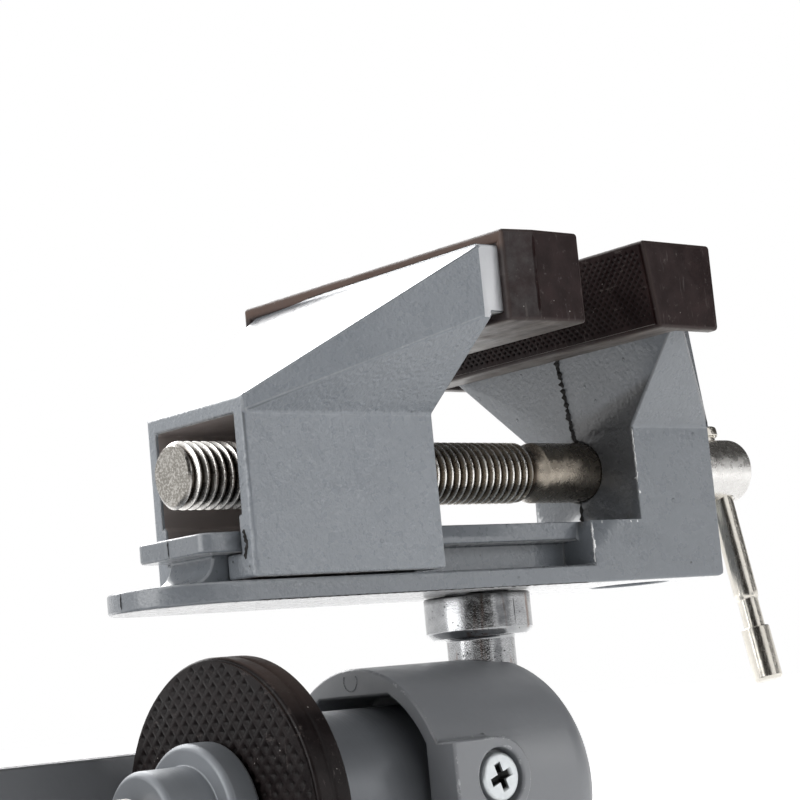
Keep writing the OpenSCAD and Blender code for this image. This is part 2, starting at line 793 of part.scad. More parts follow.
module clamp_pad() {
    floor_x = tip_front + slide_clear;
    bore_r = tip_r + run_clear;
    color(silver) turned_x([
        [pad_front, 0], [pad_front, pad_r - pad_chamfer], [pad_front - pad_chamfer, pad_r],
        [pad_rear + pad_chamfer, pad_r], [pad_rear, pad_r - pad_chamfer], [pad_rear, pad_hub_r],
        [hub_rear + pad_chamfer, pad_hub_r], [hub_rear, pad_hub_r - pad_chamfer], [hub_rear, bore_r],
        [ring_room_x, bore_r], [ring_room_x, ring_room_r], [ring_groove_x + slide_clear, ring_room_r],
        [ring_groove_x + slide_clear, bore_r], [floor_x, bore_r], [floor_x, 0]
    ]);
}

module pad_ring() {
    gap_w = 3;
    inner = tip_r - ring_groove_depth + 0.1;
    color(steel) difference() {
        rod_x([ring_groove_x - ring_t, ring_groove_x], ring_r);
        rod_x([ring_groove_x - ring_t - cut, ring_groove_x + cut], inner);
        block([ring_groove_x - ring_t - cut, ring_groove_x + cut], [-gap_w / 2, gap_w / 2],
              [0, ring_r + cut]);
    }
}

// Points [x, radius] of the clamp screw's outline, from its drilled head to its plain tip
function clamp_screw_points() = concat(
    [
        [clamp_head_rear, 0], [clamp_head_rear, head_r - screw_chamfer],
        [clamp_head_rear + screw_chamfer, head_r], [clamp_head_front, head_r]
    ],
    thread_points(clamp_head_front, clamp_thread_front - screw_chamfer),
    [
        [clamp_thread_front, thread_r - thread_depth], [clamp_thread_front, tip_r],
        [ring_groove_x - ring_t - 0.1, tip_r], [ring_groove_x - ring_t - 0.1, tip_r - ring_groove_depth],
        [ring_groove_x + 0.1, tip_r - ring_groove_depth], [ring_groove_x + 0.1, tip_r],
        [tip_front - screw_chamfer, tip_r], [tip_front, tip_r - screw_chamfer], [tip_front, 0]
    ]
);

module clamp_screw() {
    color(steel) difference() {
        turned_x(clamp_screw_points());
        translate([clamp_cross_x, 0, 0]) rotate([-clamp_bar_tilt, 0, 0]) translate([0, 0, -head_r - cut])
            cylinder(h = 2 * (head_r + cut), r = cross_r);
    }
}

module clamp_bar() {
    color(steel) at_clamp_bar() bar_shape();
}

module clamp_bar_cap() {
    color(steel) at_clamp_bar() cap_shape();
}

clamp_frame();
guide_screw();
plunger();
disc_rubber();
ball_stud();
pivot_screw();
pivot_washer();
base_body();
fixed_jaw_pad();
retaining_pin();
thrust_washer();
movable_jaw();
jaw_nut();
movable_jaw_pad();
lead_screw();
lead_bar();
lead_bar_cap();
clamp_pad();
pad_ring();
clamp_screw();
clamp_bar();
clamp_bar_cap();
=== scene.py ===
import json
import math

import bmesh
import bpy
from mathutils import Matrix, Vector, noise


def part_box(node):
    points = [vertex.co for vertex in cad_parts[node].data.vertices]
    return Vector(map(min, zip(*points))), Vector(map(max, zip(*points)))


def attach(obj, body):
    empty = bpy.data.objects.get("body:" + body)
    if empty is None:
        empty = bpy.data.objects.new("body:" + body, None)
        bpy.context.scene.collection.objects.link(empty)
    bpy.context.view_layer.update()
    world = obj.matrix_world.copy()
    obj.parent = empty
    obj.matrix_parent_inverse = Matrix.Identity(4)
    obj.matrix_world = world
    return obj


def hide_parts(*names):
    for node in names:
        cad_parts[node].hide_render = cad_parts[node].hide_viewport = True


# The looks of a clamp-on bench vise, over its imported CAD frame.
# Sizes are millimetres in the named values and metres in the meshes.
# A place in the vise head is given from the head's own zero point: the stud's axis at the plate's underside.

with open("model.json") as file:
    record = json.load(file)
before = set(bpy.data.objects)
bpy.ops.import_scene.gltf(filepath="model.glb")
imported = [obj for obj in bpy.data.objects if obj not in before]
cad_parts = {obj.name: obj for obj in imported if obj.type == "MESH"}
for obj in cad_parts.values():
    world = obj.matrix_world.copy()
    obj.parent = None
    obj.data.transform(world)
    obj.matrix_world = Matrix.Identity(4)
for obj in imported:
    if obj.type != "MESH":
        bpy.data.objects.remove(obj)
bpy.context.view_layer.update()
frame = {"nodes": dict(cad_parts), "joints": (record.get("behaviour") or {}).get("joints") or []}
joints = {joint["name"]: joint for joint in frame["joints"]}

MM = 0.001
BALL = Vector(joints["head_tilt"]["pos_m"])
HEAD = Vector((BALL.x, BALL.y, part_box("base_body")[0].z))
SCREW_AXIS = Vector(joints["lead_screw_turn"]["pos_m"])

# Camera
LENS = 95.92
SENSOR = 36
CAMERA_PLACE = (-0.212, -0.3031, 0.01894)
CAMERA_TURN = 40.77
CAMERA_RISE = 7.8
CAMERA_ROLL = -5.39

# Rounding of the castings and of the rubber
CAST_ROUND = 0.5
HOUSING_ROUND = 0.6
PAD_ROUND = 0.35
RUBBER_ROUND = 0.8

# Screw threads, whose marks are the places along one pitch where the section turns
PITCH = 1.75
THREAD_R = 6
ROOT_R = 4.93
CREST_W = 0.3
ROOT_W = 0.42
FLANK_W = (PITCH - CREST_W - ROOT_W) / 2
CREST_AT = ROOT_W + FLANK_W
CREST_END = CREST_AT + CREST_W
THREAD_MARKS = (0, ROOT_W, ROOT_W + FLANK_W / 2, CREST_AT, CREST_END, CREST_END + FLANK_W / 2)
END_FACE_R = 5.1
TURN_STEPS = 72

# Lead screw, along the screw from the stud's axis
LEAD_FRONT = -68
LEAD_DOME = 0.12
LEAD_THREAD_END = 14.4
LEAD_RUNOUT_END = 15.9
LEAD_SHANK = (17.2, 17.6)
LEAD_GROOVE = (40.8, 44)
LEAD_HEAD_FRONT = 56.4
LEAD_HEAD_REAR = 77.1
LEAD_CROSS = 71.9
HEAD_PLATING = (45, 50)
FRONT_PLATING = (-40, -50)
SHANK_R = 6
SHANK_CHAMFER = 0.1
RUNOUT_R = 5.1
GROOVE_R = 4.6

# Both screws' heads, and the cross hole in a head, out from the screw's axis
HEAD_R = 6.8
HEAD_CHAMFER = 0.5
HEAD_ROUND = 0.9
CROSS_R = 2.72
CROSS_RIM = 0.5
CROSS_SINK = (6.1, 6.5)
CROSS_REACH = 9

# Clamp screw, along the screw from its tip's end
CLAMP_TIP_R = 4.8
CLAMP_THREAD = (-101.9, -16.4)
CLAMP_TIP_FRONT = -1.9
CLAMP_TIP_CHAMFER = 0.6
CLAMP_GROOVE = (-6.2, -5)
CLAMP_GROOVE_DEPTH = 0.8
CLAMP_HEAD_REAR = -122.6
CLAMP_CROSS = -117.4

# Handle bars, along the bar from its middle
BAR_R = 2.6
BAR_HALF = 21
BAR_NECK_R = 2.2
BAR_NECK_LEN = 6.2
BAR_TAPER = 1.4
BAR_HEAD_LEN = 2.2
BAR_HEAD_ROUND = 0.6
CAP_R = 3
CAP_LEN = 11.3
CAP_FOOT_ROUND = 0.3
CAP_END_ROUND = 0.75
CAP_BORE_R = 1.51
CAP_BORE_LEN = 6
BORE_PLAY = 0.01
BORE_GAP = 0.2

# Diamond pattern on the rubber: the width of a diamond on the disc and on the boots, and its pits
DISC_DIAMOND = 3.05
BOOT_DIAMOND = 1.6
BOOT_BORDER = 1
PATTERN_H = 0.4
PATTERN_ROOT = -0.6
PATTERN_REACH = 80
PIT_RIM = 0.62
PIT_FLOOR = 0.28
PIT_FLOOR_H = 0.02

# Rubber disc
DISC_R = 28
DISC_T = 7.4
DISC_FRONT_ROUND = 0.7
DISC_REAR_ROUND = 0.9
DISC_GROOVE = (3.4, 4.4)
DISC_GROOVE_DEPTH = 0.28
DISC_CAVITY_R = 25.51
DISC_CAVITY = (2.39, 5.41)
DISC_LIP_R = 22.5
DISC_PATTERN_R = 27.3

# Ball stud, up from the ball's centre
BALL_R = 15.5
NECK_R = 6.5
COLLAR_R = 10.2
COLLAR = (28.1, 36.1)
COLLAR_CHAMFER = 1.0
SPIGOT_R = 6
SPIGOT_TOP = 45.3
STUD_SOFT = 0.4

# Guide screw, out from the clamp axis
GUIDE = (41.8, 3)
GUIDE_HEAD_R = 4.25
GUIDE_HEAD = (24, 26.3)
GUIDE_HEAD_ROUND = 0.7
GUIDE_SHANK_R = 2
GUIDE_TIP = 14
RECESS_ARM = 2.75
RECESS_W = 1.5
RECESS_DEPTH = 1.7
RECESS_OVER = 0.2
RECESS_TAPER = 0.42
RECESS_NARROW = 0.7
RECESS_TURN = 20

# Clamp frame's barrel: its front and the ejector pin's mark on it
BARREL_FRONT = 31.4
EJECTOR = (0.2, 21.9)
EJECTOR_R = 1.9

# Base casting
PLATE_FRONT = -80.1
RAIL_FRONT = -69.8
FOOT_X = 18.2
UPRIGHT_FACE = 30.85
UPRIGHT_X = 32.4
FLARE_FACE = 27.95
PLATE_HALF = 14.8
PLATE_REAR = 55.05
FOOT_TOP = 12
RAIL_TOP = 12.2
HEEL_ROUND = 1.8

# Casting seams, and chips along rounded edges
SEAM_ROOT = 0.2
SEAM_LEAN = 0.6
EDGE_DROP = 0.2
CHIP_H = 0.1
CHIP_ROUGH = 1.6
CHIP_STEPS = 3

# Painted shade on the upright's face: across its middle, behind the face, above the foot and up to its full
# strength
SHADE_MIDDLE = (0.5, -0.5)
SHADE_FACE = (30, 30.5)
SHADE_FOOT = (12.4, 12.6)
SHADE_RISE = (14, 22)

# Movable jaw: the ends of its block and the cavity of its box
BLOCK_END_Y = 33
BOX_FRONT = -62.6
BOX_ROUND = 1.1
CAVITY_HALF = 11.9
CAVITY_TOP = 32.3
CAVITY_FRONT = -62
CAVITY_REAR = -29.9

# Movable boot, which sits slightly askew on its jaw
BOOT_CREASE = -10.6
BOOT_CREASE_W = 0.9
BOOT_CREASE_OUT = 0.22
BOOT_LIP_IN = 1.1
BOOT_SKEW = 2.1
BOOT_FLARE = 2.2
BOOT_SAG = 1.1
BOOT_WALL = 1.5
BOOT_TOP = (58.5, 60)

# Fixed boot, whose clamping face leans back at its foot
BOOT_LEAN = 2.4
BOOT_SKIN = 1.8

# Floor and surroundings, in metres
FLOOR_Z = -0.0485
FLOOR_REACH = 6
STAGE_MIDDLE = (0.05, 0, 0.05)
AMBIENT = 0.06

# The castings' paint, between two tones
PAINT_TONES = ((0.232, 0.253, 0.28), (0.272, 0.294, 0.322))


def mm(x, y, z):
    """A vector in metres from millimetres."""
    return Vector((x, y, z)) * MM


def in_head(x, y, z):
    """A place in the vise head at rest."""
    return HEAD + mm(x, y, z)


def axis_turn(axis):
    """The rotation that takes +X to the axis."""
    return Vector((1, 0, 0)).rotation_difference(Vector(axis).normalized()).to_matrix().to_4x4()


class Finish:
    """A node material, or the world's nodes, with short ways to add the nodes that the finishes share."""

    def __init__(self, name, world=None):
        self.material = world or bpy.data.materials.new(name)
        self.material.use_nodes = True
        self.tree = self.material.node_tree
        self.shader = self.tree.nodes["Background" if world else "Principled BSDF"]
        self.space = self.tree.nodes.new("ShaderNodeTexCoord")

    def join(self, socket, value):
        if isinstance(value, bpy.types.NodeSocket):
            self.tree.links.new(value, socket)
        elif isinstance(value, tuple) and socket.type == "RGBA":
            socket.default_value = (*value, 1)
        else:
            socket.default_value = value

    def add(self, kind, inputs, **settings):
        """A node with its settings, and with values or links on its inputs by name or number."""
        made = self.tree.nodes.new("ShaderNode" + kind)
        for name, value in settings.items():
            setattr(made, name, value)
        for key, value in inputs.items():
            self.join(made.inputs[key], value)
        return made

    def set(self, **values):
        """Values or links on the shader's own inputs, with _ for a space in a name."""
        for name, value in values.items():
            self.join(self.shader.inputs[name.replace("_", " ")], value)

    def noise(self, size, detail=2.0, rough=0.5, stretch=None):
        """Noise with features of about that size in millimetres."""
        place = self.space.outputs["Object"]
        if stretch is not None:
            place = self.add("Mapping", {"Vector": place, "Scale": stretch}).outputs[0]
        inputs = {"Vector": place, "Scale": 1 / (size * MM), "Detail": detail, "Roughness": rough}
        return self.add("TexNoise", inputs).outputs[0]

    def specks(self, spacing, share):
        """Small spots, one in each cell of the spacing, over about that share of its width."""
        made = self.add("TexVoronoi", {"Vector": self.space.outputs["Object"], "Scale": 1 / (spacing * MM)})
        return self.span(made.outputs["Distance"], share, share * 0.5)

    def span(self, value, low, high, to_low=0.0, to_high=1.0):
        """The value's range low to high, spread over another range and held inside it."""
        inputs = {"Value": value, "From Min": low, "From Max": high, "To Min": to_low, "To Max": to_high}
        return self.add("MapRange", inputs).outputs[0]

    def math(self, operation, a, b=0.0):
        return self.add("Math", {0: a, 1: b}, operation=operation).outputs[0]

    def times(self, first, *others):
        """The product of some values."""
        for other in others:
            first = self.math("MULTIPLY", first, other)
        return first

    def mix(self, share, a, b):
        return self.add("Mix", {0: share, 6: a, 7: b}, data_type="RGBA").outputs[2]

    def attribute(self, name):
        return self.add("Attribute", {}, attribute_name=name).outputs["Fac"]

    def part(self, output, letter):
        """One of x, y or z of a texture coordinate."""
        return self.add("SeparateXYZ", {0: self.space.outputs[output]}).outputs["xyz".index(letter)]

    def away(self, one, two):
        """The distance from an axis, over two of x, y and z."""
        squares = [self.times(part, part) for part in (self.part("Object", one), self.part("Object", two))]
        return self.math("SQRT", self.math("ADD", *squares))

    def between(self, value, low, high, *to):
        """A span of a place or a distance, with its range in millimetres."""
        return self.span(value, low * MM, high * MM, *to)

    def head_span(self, letter, low, high, *to):
        """A span between two places in the vise head along x, y or z, in millimetres."""
        zero = HEAD["xyz".index(letter)] / MM
        return self.between(self.part("Object", letter), zero + low, zero + high, *to)

    def spread(self, texture, low, high):
        """A noise's usual range, spread over another range."""
        return self.span(texture, 0.3, 0.7, low, high)

    def spots(self, spacing, share, patch, low, high):
        """Specks that come in patches of about that size."""
        return self.times(self.specks(spacing, share), self.span(self.noise(patch), low, high))

    def coats(self, colour, *layers):
        """A colour under layers of (share, colour), one on the other."""
        for share, over in layers:
            colour = self.mix(share, colour, over)
        return colour

    def done(self, colour, rough, *bumps, **values):
        """The material, with its bumps of (height, depth) or (height, depth, strength) one on the other."""
        under = {}
        for height, depth, *strength in bumps:
            inputs = {"Height": height, "Distance": depth * MM, **under}
            if strength:
                inputs["Strength"] = strength[0]
            under = {"Normal": self.add("Bump", inputs).outputs["Normal"]}
        self.set(Base_Color=colour, Roughness=rough, **values, **under)
        return self.material


def casting_paint(name, depth, peel_depth):
    """Blue-grey stoved paint on a die casting, with painted shade in its inner corners, paint worn thin and a
    painted highlight on edges that don't face down, and painted light from below on its downward faces.

    Depth scales its tone, and the peel's depth its orange peel.
    """
    finish = Finish(name)
    low, high = [tuple(value * depth for value in paint) for paint in PAINT_TONES]
    edge = finish.attribute("edge")
    rise = finish.part("Normal", "z")
    # Painted shade: darker along inner (concave) edges
    corner = finish.span(edge, 0.0, -1.0, 0.0, 0.55)
    patchy = finish.span(finish.noise(2.5, 3), 0.35, 0.6, 0.1, 0.42)
    # Paint worn thin on outer edges, with a painted highlight there too: only on edges that don't face down
    edge_wear_and_highlight = finish.times(finish.span(edge, 0.1, 0.9), patchy, finish.span(rise, -0.3, -0.1))
    pits = finish.spots(4.4, 0.075, 9, 0.5, 0.56)
    # Painted light from below: downward faces turn pale, with dark pits
    under = finish.span(rise, -0.8, -0.97)
    colour = finish.coats(
        finish.mix(finish.noise(11, 3), low, high),
        (corner, (0.05, 0.05, 0.052)), (edge_wear_and_highlight, (0.48, 0.495, 0.515)),
        # Next line: the paint's pits, and the painted shade on the upright's face
        (pits, (0.03, 0.03, 0.032)), (upright_shade(finish), (0.055, 0.053, 0.052)),
        (under, finish.mix(pits, (0.7, 0.705, 0.71), (0.05, 0.05, 0.05))))
    upright = finish.span(rise, 0.5, 0.2)
    blobs = finish.spots(5.2, 0.09, 8, 0.5, 0.54)
    return finish.done(colour, finish.spread(finish.noise(3, 3), 0.24, 0.34),
                       (finish.noise(0.8), peel_depth, upright), (finish.noise(14), 0.25, upright),
                       (pits, -0.05), (blobs, 0.2), Coat_Weight=0.35, Coat_Roughness=0.1)


def upright_shade(finish):
    """Painted shade that darkens the upright's face: its near half, round the screw's hole."""
    front = finish.span(finish.part("Normal", "x"), -0.8, -0.95)
    near = finish.head_span("y", *SHADE_MIDDLE)
    face = finish.head_span("x", *SHADE_FACE)
    low = finish.head_span("z", *SHADE_FOOT)
    high = finish.head_span("z", *SHADE_RISE, 0.3, 0.75)
    return finish.times(front, near, face, high, low)


def plain_finish(name, size, dark, pale, rough, rough_noise, bump_noise, bump_depth, **values):
    """Two mottled tones, with an uneven roughness and a grain, whose noises are (size, detail)."""
    finish = Finish(name)
    return finish.done(finish.mix(finish.noise(size, 3), dark, pale),
                       finish.spread(finish.noise(*rough_noise), *rough),
                       (finish.noise(*bump_noise), bump_depth), **values)


def housing_paint():
    """The same paint on the clamp frame, smoother and a little browner, worn off at its edges, with painted
    shade in its inner corners.
    """
    finish = Finish("housing_paint")
    edge = finish.attribute("edge")
    # Painted shade: darker along inner (concave) edges
    corner = finish.math("MAXIMUM", finish.times(edge, -0.6), 0.0)
    wear = finish.times(finish.span(finish.noise(1.7, 4, 0.7), 0.56, 0.74), finish.span(edge, 0.02, 0.5))
    colour = finish.coats(
        finish.mix(finish.noise(18, 3), (0.166, 0.173, 0.186), (0.196, 0.204, 0.218)),
        (corner, (0.06, 0.06, 0.062)), (wear, (0.5, 0.51, 0.53)))
    return finish.done(colour, finish.spread(finish.noise(4, 3), 0.36, 0.48),
                       (finish.noise(1.3), 0.03), (finish.noise(16), 0.1), Specular_IOR_Level=0.95)


def turned_metal(name, dark, pale):
    """Turned and clear-coated light metal."""
    finish = Finish(name)
    marks = finish.noise(0.5, stretch=(1, 0.04, 0.04))
    colour = finish.mix(finish.noise(8, 3), dark, pale)
    return finish.done(colour, finish.spread(marks, 0.38, 0.5),
                       (marks, 0.006), (finish.noise(9), 0.05), Metallic=0.25)


def stud_metal():
    """Bare die-cast metal, glossy and mottled, with pores, painted brown reflection streaks and a painted
    shadow of the plate at its top.
    """
    finish = Finish("stud_metal")
    # Painted reflection: brown streaks running up the stud
    reflection_streak = finish.span(finish.noise(2.4, 3, 0.6, (1, 1, 0.12)), 0.58, 0.68, 0.0, 0.7)
    pores = finish.spots(0.9, 0.2, 4, 0.47, 0.55)
    # Painted shadow of the plate: darker towards the collar's top
    plate_shadow = finish.between(finish.part("Object", "z"), COLLAR[1] - 1.3, COLLAR[1] - 0.3, 0.0, 0.85)
    colour = finish.coats(
        finish.mix(finish.noise(3, 4, 0.6), (0.22, 0.225, 0.235), (0.5, 0.505, 0.51)),
        (reflection_streak, (0.2, 0.13, 0.1)), (pores, (0.012, 0.012, 0.012)), (plate_shadow, (0.02, 0.02, 0.02)))
    return finish.done(colour, finish.spread(finish.noise(1.5, 3), 0.12, 0.24),
                       (finish.noise(0.3), 0.02), (finish.noise(5), 0.05), (pores, -0.06), Metallic=1.0)


def nickel_steel():
    """Nickel-plated steel, with oil, dirt and painted shade down in the thread, and a painted highlight on
    its crests.
    """
    finish = Finish("nickel_steel")
    out = finish.away("y", "z")
    along = finish.part("Object", "x")
    plated = finish.mix(finish.noise(2, 4, 0.65), (0.62, 0.605, 0.585), (0.82, 0.81, 0.79))
    worked = finish.mix(finish.noise(2.2, 4, 0.65), (0.22, 0.19, 0.155), (0.4, 0.36, 0.305))
    threaded = finish.between(along, LEAD_THREAD_END + 1.2, LEAD_THREAD_END)
    thread_end = finish.between(along, CLAMP_THREAD[0] - 2.2, CLAMP_THREAD[0] - 1.2, 0.0, 0.9)
    # Painted highlight: pale crests on the thread
    crest = finish.times(finish.between(out, THREAD_R - 0.2, THREAD_R - 0.05), threaded)
    # Oil and dirt, with painted shade: dark down in the thread's roots
    deep = finish.times(finish.between(out, THREAD_R - 0.35, ROOT_R + 0.25), threaded, thread_end)
    face = finish.between(along, LEAD_FRONT + 0.3, LEAD_FRONT + 0.1)
    grit = finish.span(finish.noise(0.35), 0.45, 0.62)
    colour = finish.coats(
        worked,
        (finish.between(along, *HEAD_PLATING), plated),
        (finish.between(along, *FRONT_PLATING, 0.0, 0.8), plated),
        (crest, (0.85, 0.83, 0.79)), (deep, (0.07, 0.052, 0.038)),
        (face, finish.mix(grit, (0.25, 0.235, 0.21), (0.5, 0.48, 0.45))))
    return finish.done(colour, finish.spread(finish.noise(1.5, 3), 0.2, 0.34),
                       (finish.noise(0.35), 0.04), (finish.noise(4), 0.012), Metallic=0.95)


def bar_chrome():
    """Polished plating with faint waves and fine scratches."""
    finish = Finish("bar_chrome")
    scratch = finish.noise(0.35, stretch=(1, 1, 0.05))
    colour = finish.mix(finish.noise(6, 3), (0.66, 0.62, 0.55), (0.8, 0.77, 0.71))
    return finish.done(colour, finish.spread(scratch, 0.18, 0.3),
                       (scratch, 0.004), (finish.noise(9), 0.03), Metallic=1.0)


def zinc_fastener():
    """Pale blue zinc plating, slightly crystalline, with painted shade down in the recess."""
    finish = Finish("zinc_fastener")
    sunk = finish.between(finish.part("Object", "y"), 0.12 - GUIDE_HEAD[1], 0.6 - GUIDE_HEAD[1])
    inner = finish.between(finish.away("x", "z"), RECESS_ARM + 0.55, RECESS_ARM + 0.15)
    colour = finish.mix(finish.noise(1.4, 4, 0.65), (0.55, 0.58, 0.6), (0.78, 0.81, 0.82))
    # Painted shade in the recess
    colour = finish.mix(finish.times(sunk, inner), colour, (0.018, 0.018, 0.018))
    return finish.done(colour, finish.spread(finish.noise(1, 3), 0.28, 0.42),
                       (finish.noise(0.6, 3), 0.012), Metallic=0.7)


def rubber(name, dark, pale):
    """Brownish-black moulded rubber with scuffs, bloom and lint, painted sheen on the lip, painted light on
    the lip's rear and on the underside in streaks, and painted shade in the pits.
    """
    finish = Finish(name)
    lip = finish.attribute("lip")
    rise = finish.part("Normal", "z")
    bloom = finish.span(finish.noise(6, 4, 0.65), 0.42, 0.72)
    # Painted sheen on the lip, in patches
    lip_sheen_patches = finish.span(finish.noise(3.5, 4, 0.65), 0.35, 0.65, 0.15, 0.75)
    back = finish.span(finish.part("Normal", "x"), -0.6, -0.9)
    # Painted light on the lip's rear faces, near its top
    rear = finish.times(lip, back, finish.head_span("z", *BOOT_TOP), 0.75)
    scuff = finish.span(finish.noise(1.6, 4, 0.75, (1, 0.35, 1)), 0.6, 0.74, 0.0, 0.6)
    scratch = finish.span(finish.noise(0.8, 3, 0.6, (1, 1, 0.12)), 0.64, 0.71, 0.0, 0.35)
    lint = finish.spots(2.1, 0.07, 7, 0.5, 0.56)
    # Painted light from below on downward faces, in streaks
    underside_streaks = finish.span(finish.noise(2.5, 4, 0.7, (1, 0.2, 1)), 0.35, 0.65, 0.3, 1.0)
    under = finish.times(finish.span(rise, -0.7, -0.95), underside_streaks, 0.5)
    over = finish.span(rise, 0.6, 0.9, 0.0, 0.5)
    edge = finish.times(finish.math("MAXIMUM", finish.attribute("edge"), 0.0), 0.4)
    # Painted shade in the pits
    pit = finish.times(finish.attribute("pit"), 0.6)
    colour = finish.coats(
        finish.mix(bloom, dark, pale),
        (finish.times(lip, lip_sheen_patches), (0.06, 0.052, 0.052)), (rear, (0.15, 0.1, 0.08)),
        (scuff, (0.12, 0.1, 0.094)), (scratch, (0.11, 0.092, 0.088)), (lint, (0.42, 0.39, 0.37)),
        (under, (0.4, 0.37, 0.34)), (over, (0.12, 0.085, 0.072)),
        (edge, (0.085, 0.068, 0.064)), (pit, (0.003, 0.0022, 0.0022)))
    return finish.done(colour, finish.span(bloom, 0.0, 1.0, 0.36, 0.56),
                       (finish.noise(0.7, 3, 0.6), 0.04), (finish.noise(9), 0.3), Specular_IOR_Level=0.15)


# One paint for both castings, as a darker copy on the base and a lighter one on the jaw: painted shade and
# painted light
PAINT = casting_paint("base_paint", 0.75, 0.13)
JAW_PAINT = casting_paint("jaw_paint", 0.97, 0.25)
# Bare bright metal where paint has chipped
CHIP = plain_finish("chip_metal", 0.8, (0.6, 0.6, 0.6), (0.95, 0.95, 0.95),
                    (0.3, 0.5), (0.6, 2), (0.4, 3), 0.02, Metallic=0.1)
# Its own duller, brownish tone on the inner faces of the box, set for the light in its cavity: painted light
# and shade
CAVITY = plain_finish("cavity_tone", 6, (0.36, 0.315, 0.3), (0.5, 0.44, 0.42),
                      (0.45, 0.65), (2, 2), (1.2, 3), 0.06)
# Painted highlight on the ends of the jaw's block, as a paler paint
BLOCK_END_HIGHLIGHT = plain_finish("block_end_highlight", 5, (0.57, 0.58, 0.605), (0.66, 0.67, 0.69),
                      (0.28, 0.4), (3, 3), (1.3, 2), 0.03)
HOUSING = housing_paint()
PLUNGER = turned_metal("plunger_metal", (0.12, 0.128, 0.14), (0.15, 0.159, 0.172))
PAD_METAL = turned_metal("pad_metal", (0.21, 0.225, 0.245), (0.25, 0.265, 0.285))
STUD = stud_metal()
NICKEL = nickel_steel()
CHROME = bar_chrome()
ZINC = zinc_fastener()
RUBBER = rubber("rubber", (0.0125, 0.0054, 0.0054), (0.026, 0.0136, 0.0132))
# A darker copy of the boots' rubber for the disc, darkened against the low fill lamp: painted shade
DISC_RUBBER = rubber("disc_rubber", (0.0075, 0.0052, 0.0053), (0.0165, 0.0122, 0.0122))
# Painted shade along a casting seam: near-black, rough metal
SEAM_SHADE = plain_finish("seam_shade", 1.1, (0.008, 0.008, 0.008), (0.04, 0.038, 0.036),
                    (0.6, 0.9), (0.8, 2), (0.5, 3), 0.05)


def new_object(name, data):
    """An object in the scene."""
    made = bpy.data.objects.new(name, data)
    bpy.context.scene.collection.objects.link(made)
    return made


def new_mesh(name, bm):
    """A mesh from one in the making."""
    mesh = bpy.data.meshes.new(name)
    bm.to_mesh(mesh)
    bm.free()
    return mesh


def unseen(made, *rays):
    """Hides an object from some kinds of rays."""
    for kind in rays:
        setattr(made, "visible_" + kind, False)


def place(name, bm, body, slot, nodes, *materials, smooth=40, at=None):
    """Turns a mesh in the making into a piece that rides on a body and stands for CAD nodes."""
    bmesh.ops.triangulate(bm, faces=[face for face in bm.faces if len(face.verts) > 4])
    bmesh.ops.recalc_face_normals(bm, faces=bm.faces)
    mesh = new_mesh(name, bm)
    for material in materials:
        mesh.materials.append(material)
    mesh.shade_smooth()
    mesh.set_sharp_from_angle(angle=math.radians(smooth))
    piece = new_object(name, mesh)
    if at is not None:
        piece.location = at
    bpy.context.view_layer.update()
    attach(piece, body)
    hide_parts(*nodes)
    flatten(piece)
    return piece


def flatten(piece):
    """Keeps large faces flat in the shading beside their rounded edges."""
    flat = piece.modifiers.new("flat_faces", "WEIGHTED_NORMAL")
    flat.keep_sharp = True


def cad_copy(node):
    """A CAD node's mesh, with its flat faces whole again."""
    bm = bmesh.new()
    bm.from_mesh(frame["nodes"][node].data)
    bmesh.ops.remove_doubles(bm, verts=bm.verts, dist=1e-6)
    bmesh.ops.dissolve_limit(bm, angle_limit=math.radians(1), verts=bm.verts, edges=bm.edges)
    return bm


def split(bm, spot, way):
    """Cuts all faces along a plane, and keeps both sides."""
    everything = list(bm.verts) + list(bm.edges) + list(bm.faces)
    bmesh.ops.bisect_plane(bm, geom=everything, plane_co=spot, plane_no=way, dist=1e-6)


def soften(bm, width, skip=None):
    """Rounds sharp edges that aren't skipped. The edge attribute is 1 on outer edges and -1 on inner ones."""
    mark = bm.verts.layers.float.new("edge")
    least = math.radians(30)
    sharp = [edge for edge in bm.edges if len(edge.link_faces) == 2 and edge.calc_face_angle() > least]
    if skip:
        sharp = [edge for edge in sharp if not skip(edge)]
    made = bmesh.ops.bevel(bm, geom=sharp, offset=width * MM, offset_type="OFFSET", segments=3, profile=0.5,
                           affect="EDGES", clamp_overlap=False, loop_slide=True)
    bm.normal_update()
    strip = set(made["faces"])
    for vert in made["verts"]:
        if all(face in strip for face in vert.link_faces):
            around = sum((edge.other_vert(vert).co - vert.co for edge in vert.link_edges), Vector())
            vert[mark] = 1.0 if around.dot(vert.normal) < 0 else -1.0


def ring(bm, along, radius, steps, turn):
    """A circle of vertices about X, or one vertex where the radius is 0."""
    if radius == 0:
        return [bm.verts.new(turn @ mm(along, 0, 0))]
    angles = [2 * math.pi * i / steps for i in range(steps)]
    return [bm.verts.new(turn @ mm(along, radius * math.cos(a), radius * math.sin(a))) for a in angles]


def bridge(bm, one, two):
    """Faces between two rings, either of which may be a single vertex."""
    steps = max(len(one), len(two))
    for i in range(steps):
        j = (i + 1) % steps
        corners = [one[i % len(one)], one[j % len(one)], two[j % len(two)], two[i % len(two)]]
        bm.faces.new(list(dict.fromkeys(corners)))


def lathe(bm, profile, turn=None, steps=TURN_STEPS):
    """Turns (along, radius) points about X, or about the axis that the matrix gives."""
    turn = turn or Matrix.Identity(4)
    rings = [ring(bm, along, radius, steps, turn) for along, radius in profile]
    for one, two in zip(rings, rings[1:]):
        bridge(bm, one, two)
    return rings


def arc(along, radius, size, start, end, steps=6):
    """Points of an arc on a lathe profile: its centre, its radius and its angles from the axis."""
    angles = [math.radians(start + (end - start) * i / steps) for i in range(steps + 1)]
    return [(along + size * math.cos(a), radius + size * math.sin(a)) for a in angles]


